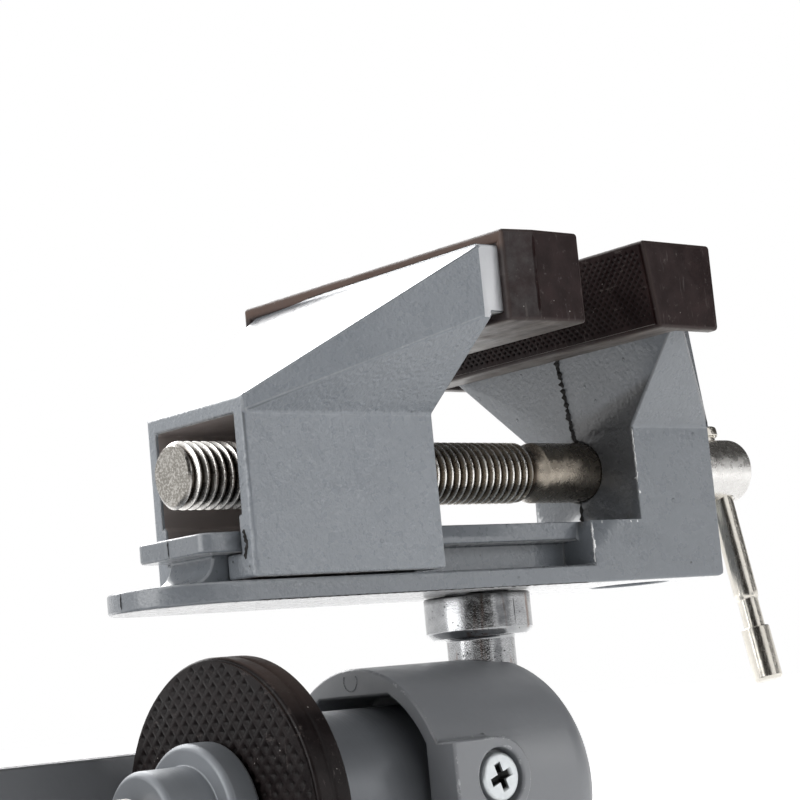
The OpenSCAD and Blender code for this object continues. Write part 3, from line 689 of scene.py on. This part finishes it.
def rounding(along, radius, size, start, end, steps=6):
    """Points that round an outer corner of a lathe profile, between two angles from the axis."""
    centre = along + (size if start + end > 180 else -size)
    return arc(centre, radius - size, size, start, end, steps)


def thread_radius(phase):
    """Radius of the thread at a share of its pitch, which begins with the root."""
    off_crest = abs((phase % 1) * PITCH - CREST_AT - CREST_W / 2) - CREST_W / 2
    return THREAD_R - (THREAD_R - ROOT_R) * min(max(off_crest / FLANK_W, 0), 1)


def thread(bm, start, end, face_r, steps=TURN_STEPS):
    """A right-hand thread along X as one helical surface. Returns its first and last rings."""
    def vertex(along, step):
        along = min(max(along, start), end)
        radius = thread_radius((along - start) / PITCH - step / steps)
        radius = min(radius, face_r[0] + along - start, face_r[1] + (end - along) / 2)
        angle = 2 * math.pi * step / steps
        return bm.verts.new(mm(along, radius * math.cos(angle), radius * math.sin(angle)))

    first = [vertex(start, step) for step in range(steps)]
    last = [vertex(end, step) for step in range(steps)]
    marks = THREAD_MARKS
    turns = math.ceil((end - start) / PITCH) + 2
    rows = []
    for number in range(turns * len(marks)):
        base = start + (number // len(marks) - 1) * PITCH + marks[number % len(marks)]
        row = []
        for step in range(steps):
            along = base + PITCH * step / steps
            held = first[step] if along <= start else last[step] if along >= end else None
            row.append(held or vertex(along, step))
        rows.append(row)
    for number in range(len(rows) - 1):
        for step in range(steps):
            skip = len(marks) if step + 1 == steps else 0
            if number + 1 + skip >= len(rows):
                continue
            turned = (step + 1) % steps
            corners = [rows[number][step], rows[number + skip][turned],
                       rows[number + 1 + skip][turned], rows[number + 1][step]]
            corners = list(dict.fromkeys(corners))
            if len(corners) > 2 and not bm.faces.get(corners):
                bm.faces.new(corners)
    return first, last


def cut(piece, cutter):
    """Takes a closed mesh out of a piece, and keeps the result as the piece's own mesh."""
    bmesh.ops.recalc_face_normals(cutter, faces=cutter.faces)
    tool = new_object("cutter", new_mesh("cutter", cutter))
    tool.matrix_world = piece.matrix_world.copy()
    piece.modifiers.clear()
    modifier = piece.modifiers.new("cut", "BOOLEAN")
    modifier.object = tool
    modifier.operation = "DIFFERENCE"
    modifier.solver = "EXACT"
    bpy.context.view_layer.update()
    done = piece.evaluated_get(bpy.context.evaluated_depsgraph_get())
    result = bpy.data.meshes.new_from_object(done)
    piece.modifiers.clear()
    piece.data = result
    bpy.data.objects.remove(tool)
    flatten(piece)


def cross_hole(piece, along, axis):
    """Drills a screw's head for its handle bar. The piece's own axis is X."""
    cutter = bmesh.new()
    rim = CROSS_R + CROSS_RIM
    near, far = CROSS_SINK
    half = [(near, CROSS_R), (far, rim), (CROSS_REACH, rim), (CROSS_REACH, 0)]
    other = [(-out, radius) for out, radius in reversed(half)]
    lathe(cutter, other + half, Matrix.Translation(mm(along, 0, 0)) @ axis_turn(axis), 48)
    cut(piece, cutter)


def lead_screw():
    """Threaded lead screw with a plain shank, a pin groove and a drilled head."""
    bm = bmesh.new()
    first, last = thread(bm, LEAD_FRONT, LEAD_THREAD_END, (END_FACE_R, RUNOUT_R))
    bridge(bm, ring(bm, LEAD_FRONT - LEAD_DOME, 0, 1, Matrix.Identity(4)), first)
    near, far = LEAD_GROOVE
    head = LEAD_HEAD_FRONT
    rest = [(LEAD_RUNOUT_END, RUNOUT_R), (LEAD_SHANK[0], SHANK_R - SHANK_CHAMFER), (LEAD_SHANK[1], SHANK_R),
            (near, SHANK_R), (near, GROOVE_R), (far, GROOVE_R), (far, SHANK_R),
            (head, SHANK_R), (head, HEAD_R - HEAD_CHAMFER), (head + HEAD_CHAMFER, HEAD_R)]
    rest += rounding(LEAD_HEAD_REAR, HEAD_R, HEAD_ROUND, 90, 0) + [(LEAD_HEAD_REAR, 0)]
    bridge(bm, last, lathe(bm, rest)[0])
    piece = place("lead_screw_turned", bm, "lead_screw", "nickel_steel", ["lead_screw"], NICKEL,
                  at=SCREW_AXIS)
    cross_hole(piece, LEAD_CROSS, joints["lead_bar_slide"]["axis"])


def clamp_screw():
    """Threaded clamp screw with a grooved tip inside the pad and a drilled head."""
    bm = bmesh.new()
    start, end = CLAMP_THREAD
    first, last = thread(bm, start, end, (RUNOUT_R, END_FACE_R))
    near, far = CLAMP_GROOVE
    floor = CLAMP_TIP_R - CLAMP_GROOVE_DEPTH
    front = CLAMP_TIP_FRONT
    tip = [(end, CLAMP_TIP_R), (near, CLAMP_TIP_R), (near, floor), (far, floor), (far, CLAMP_TIP_R),
           (front - CLAMP_TIP_CHAMFER, CLAMP_TIP_R), (front, CLAMP_TIP_R - CLAMP_TIP_CHAMFER), (front, 0)]
    bridge(bm, last, lathe(bm, tip)[0])
    head = [(start, HEAD_R - HEAD_CHAMFER), (start - HEAD_CHAMFER, HEAD_R)]
    head += rounding(CLAMP_HEAD_REAR, HEAD_R, HEAD_ROUND, 90, 180) + [(CLAMP_HEAD_REAR, 0)]
    bridge(bm, lathe(bm, head)[0], first)
    piece = place("clamp_screw_turned", bm, "clamp_screw", "nickel_steel", ["clamp_screw"], NICKEL)
    cross_hole(piece, CLAMP_CROSS, joints["clamp_bar_slide"]["axis"])


def bar_profile():
    """A bar from the spigot inside its cap up to its formed head, with tapered shoulders at its necks."""
    body = BAR_HALF - BAR_NECK_LEN
    tip = BAR_HALF + CAP_BORE_LEN - BORE_GAP
    spigot = CAP_BORE_R - BORE_PLAY
    head = BAR_HALF + BAR_HEAD_LEN
    half = [(body - BAR_TAPER, BAR_R), (body - 0.2, BAR_NECK_R + 0.22), (body + 0.3, BAR_NECK_R),
            (BAR_HALF, BAR_NECK_R)]
    lower = [(-tip, 0), (-tip, spigot), (-BAR_HALF, spigot)]
    lower += [(-along, radius) for along, radius in reversed(half)]
    foot = rounding(BAR_HALF, CAP_R, CAP_FOOT_ROUND, 180, 90, 3)
    return lower + half + foot + rounding(head, CAP_R, BAR_HEAD_ROUND, 90, 0, 4) + [(head, 0)]


def cap_profile():
    """The lower end's cap, bored for the bar's spigot."""
    far = BAR_HALF + CAP_LEN
    bore = BAR_HALF + CAP_BORE_LEN
    outline = [(bore, 0), (bore, CAP_BORE_R), (BAR_HALF, CAP_BORE_R)]
    outline += rounding(BAR_HALF, CAP_R, CAP_FOOT_ROUND, 180, 90, 3)
    outline += rounding(far, CAP_R, CAP_END_ROUND, 90, 0, 5) + [(far, 0)]
    return [(-along, radius) for along, radius in outline]


def handle_bar(name, joint):
    """A bar that slides in a screw's head, with its cap."""
    cap = (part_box(name + "_cap")[0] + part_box(name + "_cap")[1]) / 2
    turn = axis_turn(joints[joint]["axis"])
    middle = Matrix.Translation(cap) @ turn @ Matrix.Translation(mm(BAR_HALF + CAP_LEN / 2, 0, 0))
    bar = bmesh.new()
    lathe(bar, bar_profile(), middle)
    place(name + "_turned", bar, name, "bar_chrome", [name], CHROME)
    end = bmesh.new()
    lathe(end, cap_profile(), middle)
    place(name + "_cap_turned", end, name, "bar_chrome", [name + "_cap"], CHROME)


def diamonds(bm, size, hold, to_place):
    """A raised lattice of ridges with diamond pits. Hold moves a point outside the area to its border."""
    half = size / 2
    # Pit floors carry the pit mark, which the rubber paints in shade
    dark = bm.verts.layers.float.new("pit")
    reach = int(PATTERN_REACH / half)
    corners = ((1, 0), (0, 1), (-1, 0), (0, -1))
    shared = {}

    def corner(i, j):
        spot = hold(i * half, j * half)
        key = tuple(round(value, 4) for value in spot)
        if key not in shared:
            shared[key] = bm.verts.new(to_place(*spot, PATTERN_H))
        return shared[key]

    def inside(i, j):
        return hold(i * half, j * half) == (i * half, j * half)

    def pit(i, j, share, high):
        spots = [((i + a * share) * half, (j + b * share) * half) for a, b in corners]
        return [bm.verts.new(to_place(*spot, high)) for spot in spots]

    for i in range(-reach, reach):
        for j in range(-reach, reach):
            around = [(i + a, j + b) for a, b in corners]
            if (i + j) % 2 or not any(inside(*spot) for spot in around):
                continue
            outer = [corner(*spot) for spot in around]
            if not all(inside(i + a * PIT_RIM, j + b * PIT_RIM) for a, b in corners):
                outer = list(dict.fromkeys(outer))
                if len(outer) > 2:
                    bm.faces.new(outer)
                continue
            rim = pit(i, j, PIT_RIM, PATTERN_H)
            floor = pit(i, j, PIT_FLOOR, PIT_FLOOR_H)
            for vert in floor:
                vert[dark] = 1.0
            for k in range(4):
                n = (k + 1) % 4
                bm.faces.new([outer[k], outer[n], rim[n], rim[k]])
                bm.faces.new([rim[k], rim[n], floor[n], floor[k]])
            bm.faces.new(floor)


def round_border(radius):
    """Holds points inside a circle."""
    def hold(y, z):
        far = math.hypot(y, z)
        return (y, z) if far <= radius else (y * radius / far, z * radius / far)
    return hold


def square_border(half_y, half_z):
    """Holds points inside a rectangle."""
    def hold(y, z):
        return max(-half_y, min(half_y, y)), max(-half_z, min(half_z, z))
    return hold


def rubber_pattern(bm, size, hold, to_place):
    """The diamond lattice as a thin closed sheet, joined to a rubber piece."""
    sheet = bmesh.new()
    diamonds(sheet, size, hold, to_place)
    bmesh.ops.recalc_face_normals(sheet, faces=sheet.faces)
    edge = [e for e in sheet.edges if e.is_boundary]
    skirt = bmesh.ops.extrude_edge_only(sheet, edges=edge)["geom"]
    flat = to_place(0, 0, PATTERN_ROOT) - to_place(0, 0, PATTERN_H)
    bmesh.ops.translate(sheet, vec=flat, verts=[v for v in skirt if isinstance(v, bmesh.types.BMVert)])
    bmesh.ops.holes_fill(sheet, edges=[e for e in sheet.edges if e.is_boundary])
    mesh = new_mesh("pattern", sheet)
    bm.from_mesh(mesh)
    bpy.data.meshes.remove(mesh)


def disc():
    """Rubber clamping disc with its lattice, plain rim, rim groove and the cavity for the flange."""
    bm = bmesh.new()
    face = PATTERN_H
    profile = [(DISC_CAVITY[0], 0), (DISC_CAVITY[0], DISC_CAVITY_R), (DISC_CAVITY[1], DISC_CAVITY_R),
               (DISC_CAVITY[1], DISC_LIP_R), (DISC_T, DISC_LIP_R)]
    profile += rounding(DISC_T, DISC_R, DISC_REAR_ROUND, 0, 90)
    front, rear = DISC_GROOVE
    floor = DISC_R - DISC_GROOVE_DEPTH
    profile += [(rear + 0.1, DISC_R), (rear - 0.15, floor), (front + 0.15, floor), (front - 0.1, DISC_R)]
    profile += rounding(face, DISC_R, DISC_FRONT_ROUND, 90, 180) + [(face, 0)]
    lathe(bm, profile, steps=128)
    rubber_pattern(bm, DISC_DIAMOND, round_border(DISC_PATTERN_R), lambda y, z, high: mm(face - high, y, z))
    place("disc_moulded", bm, "plunger", "rubber", ["disc_rubber"], DISC_RUBBER, smooth=50)


def boot_face(bm, node, front, side):
    """Sets a boot's clamping face back and covers it with the lattice. Side is the way the face looks."""
    low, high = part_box(node)
    middle = (low + high) / 2
    for vert in bm.verts:
        if (vert.co.x - front) * side > -(RUBBER_ROUND + 0.05) * MM:
            vert.co.x -= side * PATTERN_H * MM
    half_y = (high.y - low.y) / MM / 2 - BOOT_BORDER
    half_z = (high.z - low.z) / MM / 2 - RUBBER_ROUND
    rubber_pattern(bm, BOOT_DIAMOND, square_border(half_y, half_z),
                   lambda y, z, up: Vector((front, middle.y, middle.z)) + mm(side * (up - PATTERN_H), y, z))


def movable_boot():
    """Boot on the movable jaw, a little askew, with a lip behind a raised crease and a far end drawn back."""
    node = "movable_jaw_pad"
    low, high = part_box(node)
    crease = in_head(BOOT_CREASE, 0, 0).x
    bm = cad_copy(node)
    for shift in (0, BOOT_CREASE_W):
        split(bm, (crease - shift * MM, 0, 0), (1, 0, 0))
    soften(bm, RUBBER_ROUND)
    ridge_x = crease - BOOT_CREASE_W / 2 * MM
    ends = [Vector((ridge_x, low.y, low.z + 0.001)), Vector((ridge_x, low.y, high.z - 0.001))]
    seam(bm, ends, Vector((1, 0, 0)), Vector((0, -1, 0)), BOOT_CREASE_W, BOOT_CREASE_OUT, 0.25, 53, steps=24)
    lip = bm.verts.layers.float.new("lip")
    half = (high.y - low.y) / 2
    for vert in bm.verts:
        back = (crease - vert.co.x) / MM
        vert[lip] = 1.0 if back > BOOT_CREASE_W / 2 else 0.0
        share = max(0.0, (crease - vert.co.x) / (crease - low.x))
        if abs(vert.co.y) > half - BOOT_WALL * MM:
            vert.co.y *= 1 - share * BOOT_LIP_IN * MM / half
        far = max(0.0, vert.co.y / half)
        vert.co.x -= share * MM * (BOOT_SKEW * vert.co.y / half + BOOT_FLARE * far ** 4)
        if vert.co.z > (low.z + high.z) / 2:
            vert.co.z -= share * MM * BOOT_SAG * (1 + vert.co.y / half) / 2
    boot_face(bm, node, high.x, 1)
    place("movable_boot_moulded", bm, "jaw", "rubber", [node], RUBBER)


def fixed_boot():
    """Boot on the fixed jaw, with end walls past the jaw's rear and a face that leans back at its foot."""
    node = "fixed_jaw_pad"
    low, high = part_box(node)
    bm = cad_copy(node)
    soften(bm, RUBBER_ROUND)
    boot_face(bm, node, low.x, -1)
    for vert in bm.verts:
        if vert.co.x < low.x + BOOT_SKIN * MM:
            vert.co.x += BOOT_LEAN * MM * (high.z - vert.co.z) / (high.z - low.z)
    place("fixed_boot_moulded", bm, "head", "rubber", [node], RUBBER)


def seam(bm, points, across, out, width, height, rough, seed, material=0, steps=40, ends=3):
    """A casting seam: a low jagged ridge along straight runs between points."""
    path = []
    for one, two in zip(points, points[1:]):
        path += [one.lerp(two, i / steps) for i in range(steps)]
    path.append(points[-1])
    sections = []
    for number, spot in enumerate(path):
        jog = [noise.noise(Vector((number * 0.37, seed, k * 7.1))) * rough for k in range(3)]
        fade = min(1.0, number / ends, (len(path) - 1 - number) / ends)
        root = spot - out * SEAM_ROOT * MM
        left = root - across * MM * width * (1 + jog[0])
        top = spot + across * MM * width * jog[2] * SEAM_LEAN + out * MM * height * fade * (1 + jog[1])
        right = root + across * MM * width * (1 + jog[2])
        sections.append([bm.verts.new(corner) for corner in (left, top, right)])
    made = [bm.faces.new(sections[0]), bm.faces.new(sections[-1])]
    for one, two in zip(sections, sections[1:]):
        for k in range(3):
            n = (k + 1) % 3
            made.append(bm.faces.new([one[k], one[n], two[n], two[k]]))
    for face in made:
        face.material_index = material


def low_step(edge):
    """Whether an edge is on the tops of the rail and the foot, where the step is too low to round."""
    spots = [(vert.co - HEAD) / MM for vert in edge.verts]
    level = all(FOOT_TOP - 0.05 < spot.z < RAIL_TOP + 0.05 for spot in spots)
    return level and max(spot.x for spot in spots) > FOOT_X - 0.1


def round_more(bm, axis, one, two, size):
    """Rounds an edge more than the others: cuts through the rounding's axis, then a pull to it.

    One and two are the ways out of the edge's two faces.
    """
    for angle in (0, 22.5, 45, 67.5, 90):
        turn = math.radians(angle)
        split(bm, axis, two * math.cos(turn) - one * math.sin(turn))
    for vert in bm.verts:
        off = vert.co - axis
        far = math.hypot(off.dot(one), off.dot(two))
        if off.dot(one) > -1e-6 and off.dot(two) > -1e-6 and far > size * MM:
            pull = size * MM / far - 1
            vert.co += (one * off.dot(one) + two * off.dot(two)) * pull


def chip(bm, start, end, out, seed, width=0.27, material=2):
    """A run of chipped paint along a rounded edge of the near side, between two (x, z); with the seam
    material it is a line of painted shade instead.
    """
    out = Vector(out).normalized()
    one, two = [in_head(x, -PLATE_HALF, z) - out * EDGE_DROP * MM for x, z in (start, end)]
    across = (two - one).normalized().cross(out)
    steps = int((two - one).length / MM * CHIP_STEPS)
    seam(bm, [one, two], across, out, width, CHIP_H, CHIP_ROUGH, seed, material, steps)


def base_casting():
    """Base plate, rail, upright and fixed jaw, with the mould's seams in painted shade, chipped edges and a
    line of painted shade along the near bottom edge.
    """
    bm = cad_copy("base_body")
    soften(bm, CAST_ROUND, skip=low_step)
    heel = in_head(PLATE_REAR - HEEL_ROUND, 0, HEEL_ROUND)
    round_more(bm, heel, Vector((1, 0, 0)), Vector((0, 0, -1)), HEEL_ROUND)
    # Seams on the base, in painted shade
    seams = (((PLATE_FRONT, 0.4), (PLATE_FRONT, 3.3), 0.16, 0.2, 0.5, 3, 12),
             ((RAIL_FRONT, 8.9), (RAIL_FRONT, 12), 0.14, 0.2, 0.5, 5, 12),
             ((UPRIGHT_FACE, 12.4), (UPRIGHT_FACE, 17), 0.5, 0.5, 0.9, 11, 14),
             ((UPRIGHT_FACE, 29.2), (UPRIGHT_FACE - 0.05, 31.2), 0.9, 0.6, 0.9, 13, 8),
             ((UPRIGHT_FACE, 30.4), (FLARE_FACE, 48.5), 0.5, 0.7, 1.5, 17, 70))
    for *ends, width, height, rough, seed, steps in seams:
        path = [in_head(x, 0, z) for x, z in ends]
        seam(bm, path, Vector((0, 1, 0)), Vector((-1, 0, 0)), width, height, rough, seed, 1, steps)
    chip(bm, (UPRIGHT_X, 12.4), (UPRIGHT_X, 30), (-1, -1, 0), 31)
    chip(bm, (FOOT_X, 4), (FOOT_X, 11.6), (-1, -1, 0), 37)
    chip(bm, (FOOT_X + 0.6, FOOT_TOP), (UPRIGHT_X, FOOT_TOP), (0, -1, 1), 41, 0.24)
    # A line of painted shade along the near bottom edge
    chip(bm, (-62, 0), (16, 0), (0, -1, -1), 43, 0.16, 1)
    place("base_cast", bm, "head", "casting", ["base_body"], PAINT, SEAM_SHADE, CHIP, smooth=60)


def movable_casting():
    """Sliding box and movable jaw in one casting, with a painted highlight on the ends of the jaw's block."""
    bm = cad_copy("movable_jaw")
    soften(bm, CAST_ROUND)
    for way in (-1, 1):
        corner = in_head(BOX_FRONT + BOX_ROUND, way * (PLATE_HALF - BOX_ROUND), 0)
        round_more(bm, corner, Vector((-1, 0, 0)), Vector((0, way, 0)), BOX_ROUND)
    path = [in_head(BOX_FRONT, y, z) for y, z in ((-12.3, 12.4), (-13.1, 9.8), (-12.2, 7.2))]
    # A seam on the box's front, in painted shade
    seam(bm, path, Vector((0, 1, 0)), Vector((-1, 0, 0)), 0.3, 0.45, 1.2, 67, 3, 12)
    for face in bm.faces:
        spot = (face.calc_center_median() - HEAD) / MM
        # Painted highlight on the block's ends
        if abs(face.normal.y) > 0.9 and abs(spot.y) > BLOCK_END_Y:
            face.material_index = 1
        # Its own tone inside the box, set for the light in the cavity
        if CAVITY_FRONT < spot.x < CAVITY_REAR and abs(spot.y) < CAVITY_HALF and spot.z < CAVITY_TOP:
            face.material_index = 2
    place("movable_cast", bm, "jaw", "casting", ["movable_jaw"], JAW_PAINT, BLOCK_END_HIGHLIGHT, CAVITY, SEAM_SHADE, smooth=60)


def housing_casting():
    """C-frame with its ball housing, and the mark of an ejector pin on the barrel's front."""
    bm = cad_copy("clamp_frame")
    soften(bm, HOUSING_ROUND)
    turns = [math.radians(angle) for angle in range(150, 395, 15)]
    spots = [mm(BARREL_FRONT, *EJECTOR) + EJECTOR_R * mm(0, math.cos(a), math.sin(a)) for a in turns]
    for one, two in zip(spots, spots[1:]):
        across = (two - one).normalized().cross(Vector((1, 0, 0)))
        seam(bm, [one, two], across, Vector((-1, 0, 0)), 0.16, 0.2, 0.2, 61, steps=3, ends=0.5)
    place("frame_cast", bm, "frame", "housing_paint", ["clamp_frame"], HOUSING, smooth=60)


def pad():
    """Pressure pad on the clamp screw's tip."""
    bm = cad_copy("clamp_pad")
    soften(bm, PAD_ROUND)
    place("pad_turned", bm, "pad", "plunger_metal", ["clamp_pad"], PAD_METAL, smooth=60)


def stud():
    """Ball stud: ball, neck, chamfered collar and spigot."""
    bm = bmesh.new()
    neck = math.degrees(math.asin(NECK_R / BALL_R))
    low, high = COLLAR
    soft = STUD_SOFT
    profile = [(-BALL_R, 0)]
    profile += arc(0, 0, BALL_R, 175, neck, 24)
    profile += [(low - 0.6, NECK_R), (low - 0.2, NECK_R + 0.2), (low, NECK_R + 0.6)]
    profile += [(low, COLLAR_R - COLLAR_CHAMFER - soft), (low + soft / 3, COLLAR_R - COLLAR_CHAMFER)]
    profile += [(low + COLLAR_CHAMFER, COLLAR_R - soft / 3), (low + COLLAR_CHAMFER + soft, COLLAR_R)]
    profile += rounding(high, COLLAR_R, soft, 90, 0, 3)
    top = SPIGOT_TOP
    profile += [(high, SPIGOT_R), (top - soft, SPIGOT_R), (top, SPIGOT_R - soft), (top, 0)]
    lathe(bm, profile, axis_turn((0, 0, 1)), 96)
    # Parting lines up the collar, in painted shade
    for way in (-1, 1):
        out = Vector((0, -way, 0))
        across = Vector((way, 0, 0))
        foot = out * (COLLAR_R - 0.04) * MM
        path = [foot + mm(0, 0, low + 1.3), foot + mm(0, 0, high - 0.5)]
        seam(bm, path, across, out, 0.14, 0.12, 0.6, 23, 1, 12)
    place("stud_cast", bm, "stud", "stud_metal", ["ball_stud"], STUD, SEAM_SHADE, smooth=50, at=BALL)


def guide_screw():
    """Cross-recessed screw in the housing's boss."""
    bm = bmesh.new()
    outward = axis_turn((0, -1, 0))
    low, high = GUIDE_HEAD
    profile = [(GUIDE_TIP, 0), (GUIDE_TIP, GUIDE_SHANK_R - 0.4), (GUIDE_TIP + 0.4, GUIDE_SHANK_R)]
    profile += [(low, GUIDE_SHANK_R), (low, GUIDE_HEAD_R - 0.2), (low + 0.2, GUIDE_HEAD_R)]
    profile += rounding(high, GUIDE_HEAD_R, GUIDE_HEAD_ROUND, 90, 0, 5) + [(high, 0)]
    lathe(bm, profile, outward, 64)
    spot = mm(GUIDE[0], 0, GUIDE[1])
    piece = place("guide_screw_formed", bm, "frame", "zinc_fastener", ["guide_screw"], ZINC, at=spot)
    cutter = bmesh.new()
    levels = []
    for level, wide, arm in ((high + RECESS_OVER, RECESS_W / 2, RECESS_ARM),
                             (high - RECESS_DEPTH, RECESS_W / 2 * RECESS_NARROW, RECESS_ARM * RECESS_TAPER)):
        outline = []
        for quarter in range(4):
            turn = Matrix.Rotation(math.radians(90 * quarter + RECESS_TURN), 4, "X")
            for across, along in ((wide, wide), (wide, arm), (-wide, arm)):
                outline.append(cutter.verts.new(outward @ turn @ mm(level, across, along)))
        levels.append(outline)
    bridge(cutter, *levels)
    for outline in levels:
        cutter.faces.new(outline)
    cut(piece, cutter)


def finish_nodes():
    """Finishes for the CAD nodes that stay as they are."""
    finishes = {"plunger": PLUNGER, "pivot_screw": ZINC, "pivot_washer": ZINC, "retaining_pin": ZINC,
                "thrust_washer": ZINC, "pad_ring": ZINC, "jaw_nut": NICKEL}
    for node, material in finishes.items():
        mesh = frame["nodes"][node].data
        mesh.materials.clear()
        mesh.materials.append(material)


def camera():
    """The photograph's camera, which looks slightly up at the vise."""
    turn, rise, roll = (math.radians(a) for a in (CAMERA_TURN, CAMERA_RISE, CAMERA_ROLL))
    ahead = Vector((math.sin(turn) * math.cos(rise), math.cos(turn) * math.cos(rise), math.sin(rise)))
    level = Vector((math.cos(turn), -math.sin(turn), 0))
    above = level.cross(ahead)
    right = math.cos(roll) * level + math.sin(roll) * above
    up = math.cos(roll) * above - math.sin(roll) * level
    data = bpy.data.cameras.new("camera")
    data.lens = LENS
    data.sensor_width = SENSOR
    made = new_object("camera", data)
    made.matrix_world = Matrix((right, up, -ahead)).transposed().to_4x4()
    made.location = CAMERA_PLACE
    bpy.context.scene.camera = made


def softbox(name, spot, width, height, radiance, aim=STAGE_MIDDLE):
    """A rectangular lamp of that brightness, turned to a point."""
    data = bpy.data.lights.new(name, "AREA")
    data.shape = "RECTANGLE"
    data.size = width
    data.size_y = height
    data.energy = radiance * math.pi * width * height
    made = new_object(name, data)
    made.location = spot
    made.rotation_euler = (Vector(aim) - Vector(spot)).to_track_quat("-Z", "Y").to_euler()
    return made


def seen_rays(finish):
    """1 for camera, glossy and transmission rays, which see the white studio."""
    rays = finish.add("LightPath", {}).outputs
    seen = finish.math("MAXIMUM", rays["Is Camera Ray"], rays["Is Glossy Ray"])
    return finish.math("MAXIMUM", seen, rays["Is Transmission Ray"])


def studio_world():
    """White surroundings for what is seen, and a lower even light for the rest."""
    world = bpy.data.worlds.new("studio")
    bpy.context.scene.world = world
    finish = Finish("studio", world)
    finish.set(Color=(1, 1, 1), Strength=finish.span(seen_rays(finish), 0.0, 1.0, AMBIENT, 1.0))


def floor_finish():
    """Pale matt floor, lifted to white where it is seen, with the object's shadow kept."""
    finish = Finish("floor")
    colour = finish.mix(finish.noise(60), (0.8, 0.8, 0.8), (0.84, 0.84, 0.84))
    lift = finish.times(finish.span(finish.away("x", "y"), 0.3, 0.8, 0.5, 0.95), seen_rays(finish))
    return finish.done(colour, 0.9, Specular_IOR_Level=0.1, Emission_Color=(1, 1, 1), Emission_Strength=lift)


def flag_finish(name, dark, light):
    """Cloth of a studio flag between two greys."""
    finish = Finish(name)
    return finish.done(finish.mix(finish.noise(20), dark, light), 0.95)


def sheet_object(name, corners, material):
    """A four-cornered stage piece."""
    mesh = bpy.data.meshes.new(name)
    mesh.from_pydata(corners, [], [(0, 1, 2, 3)])
    mesh.materials.append(material)
    made = new_object(name, mesh)
    return made


def studio():
    """Floor, flags, lamps and surroundings. The fills aren't mirrored, and the glint is only mirrored."""
    ways = ((-1, -1), (1, -1), (1, 1), (-1, 1))
    sheet_object("floor", [(x * FLOOR_REACH, y * FLOOR_REACH, FLOOR_Z) for x, y in ways], floor_finish())
    flags()
    softbox("back_softbox", (0.15, 0.7, 0.6), 0.8, 0.5, 6)
    softbox("left_softbox", (-0.75, 0.1, 0.3), 0.5, 0.7, 3.4)
    for fill in (("back_left_softbox", (-0.4, 0.6, 0.3), 0.4, 0.4, 0.8),
                 ("front_softbox", (0.02, -0.75, 0.3), 0.6, 0.4, 1.4),
                 ("front_right_softbox", (0.45, -0.6, 0.25), 0.4, 0.4, 3.9),
                 ("low_left_softbox", (-0.6, -0.15, 0.03), 0.3, 0.2, 1.2, (0.03, 0, 0)),
                 ("low_softbox", (0.1, 0, -0.046), 0.25, 0.25, 0.6, (0.1, 0, 1))):
        unseen(softbox(*fill), "camera", "glossy")
    unseen(softbox("glint_softbox", around(308, 0.9, 0.33), 0.16, 0.1, 22), "camera", "diffuse")
    studio_world()


def around(bearing, reach, z):
    """A place round the vise, by its bearing in degrees and its distance."""
    turn = math.radians(bearing)
    return BALL.x + reach * math.cos(turn), reach * math.sin(turn), z


def flag(name, one, two, near, far, material):
    """A panel that only gloss mirrors, between two bearings and between a near and a far (reach, z)."""
    corners = [around(one, *near), around(two, *near), around(two, *far), around(one, *far)]
    unseen(sheet_object(name, corners, material), "camera", "diffuse", "shadow")


def flags():
    """Dark panels on the camera's side and high on the right, and a grey one beside them."""
    dark = flag_finish("dark_flag", (0.012, 0.011, 0.01), (0.03, 0.026, 0.022))
    grey = flag_finish("grey_flag", (0.35, 0.36, 0.38), (0.45, 0.46, 0.48))
    levels = [(0.95, -0.04), (0.95, 0.5), (0.6, 0.95), (0.1, 1.15)]
    bearings = (198, 214, 230, 245, 260)
    for one, two in zip(bearings, bearings[1:]):
        for near, far in zip(levels, levels[1:]):
            flag("dark_flag", one, two, near, far, dark)
    flag("grey_flag", 268, 300, (1, -0.04), (1, 0.14), grey)
    flag("high_flag", -62, 45, (1, 0.13), (0.6, 1.1), dark)


base_casting()
movable_casting()
housing_casting()
pad()
stud()
guide_screw()
lead_screw()
clamp_screw()
handle_bar("lead_bar", "lead_bar_slide")
handle_bar("clamp_bar", "clamp_bar_slide")
disc()
movable_boot()
fixed_boot()
finish_nodes()
camera()
studio()
bpy.context.scene.view_settings.view_transform = "Standard"
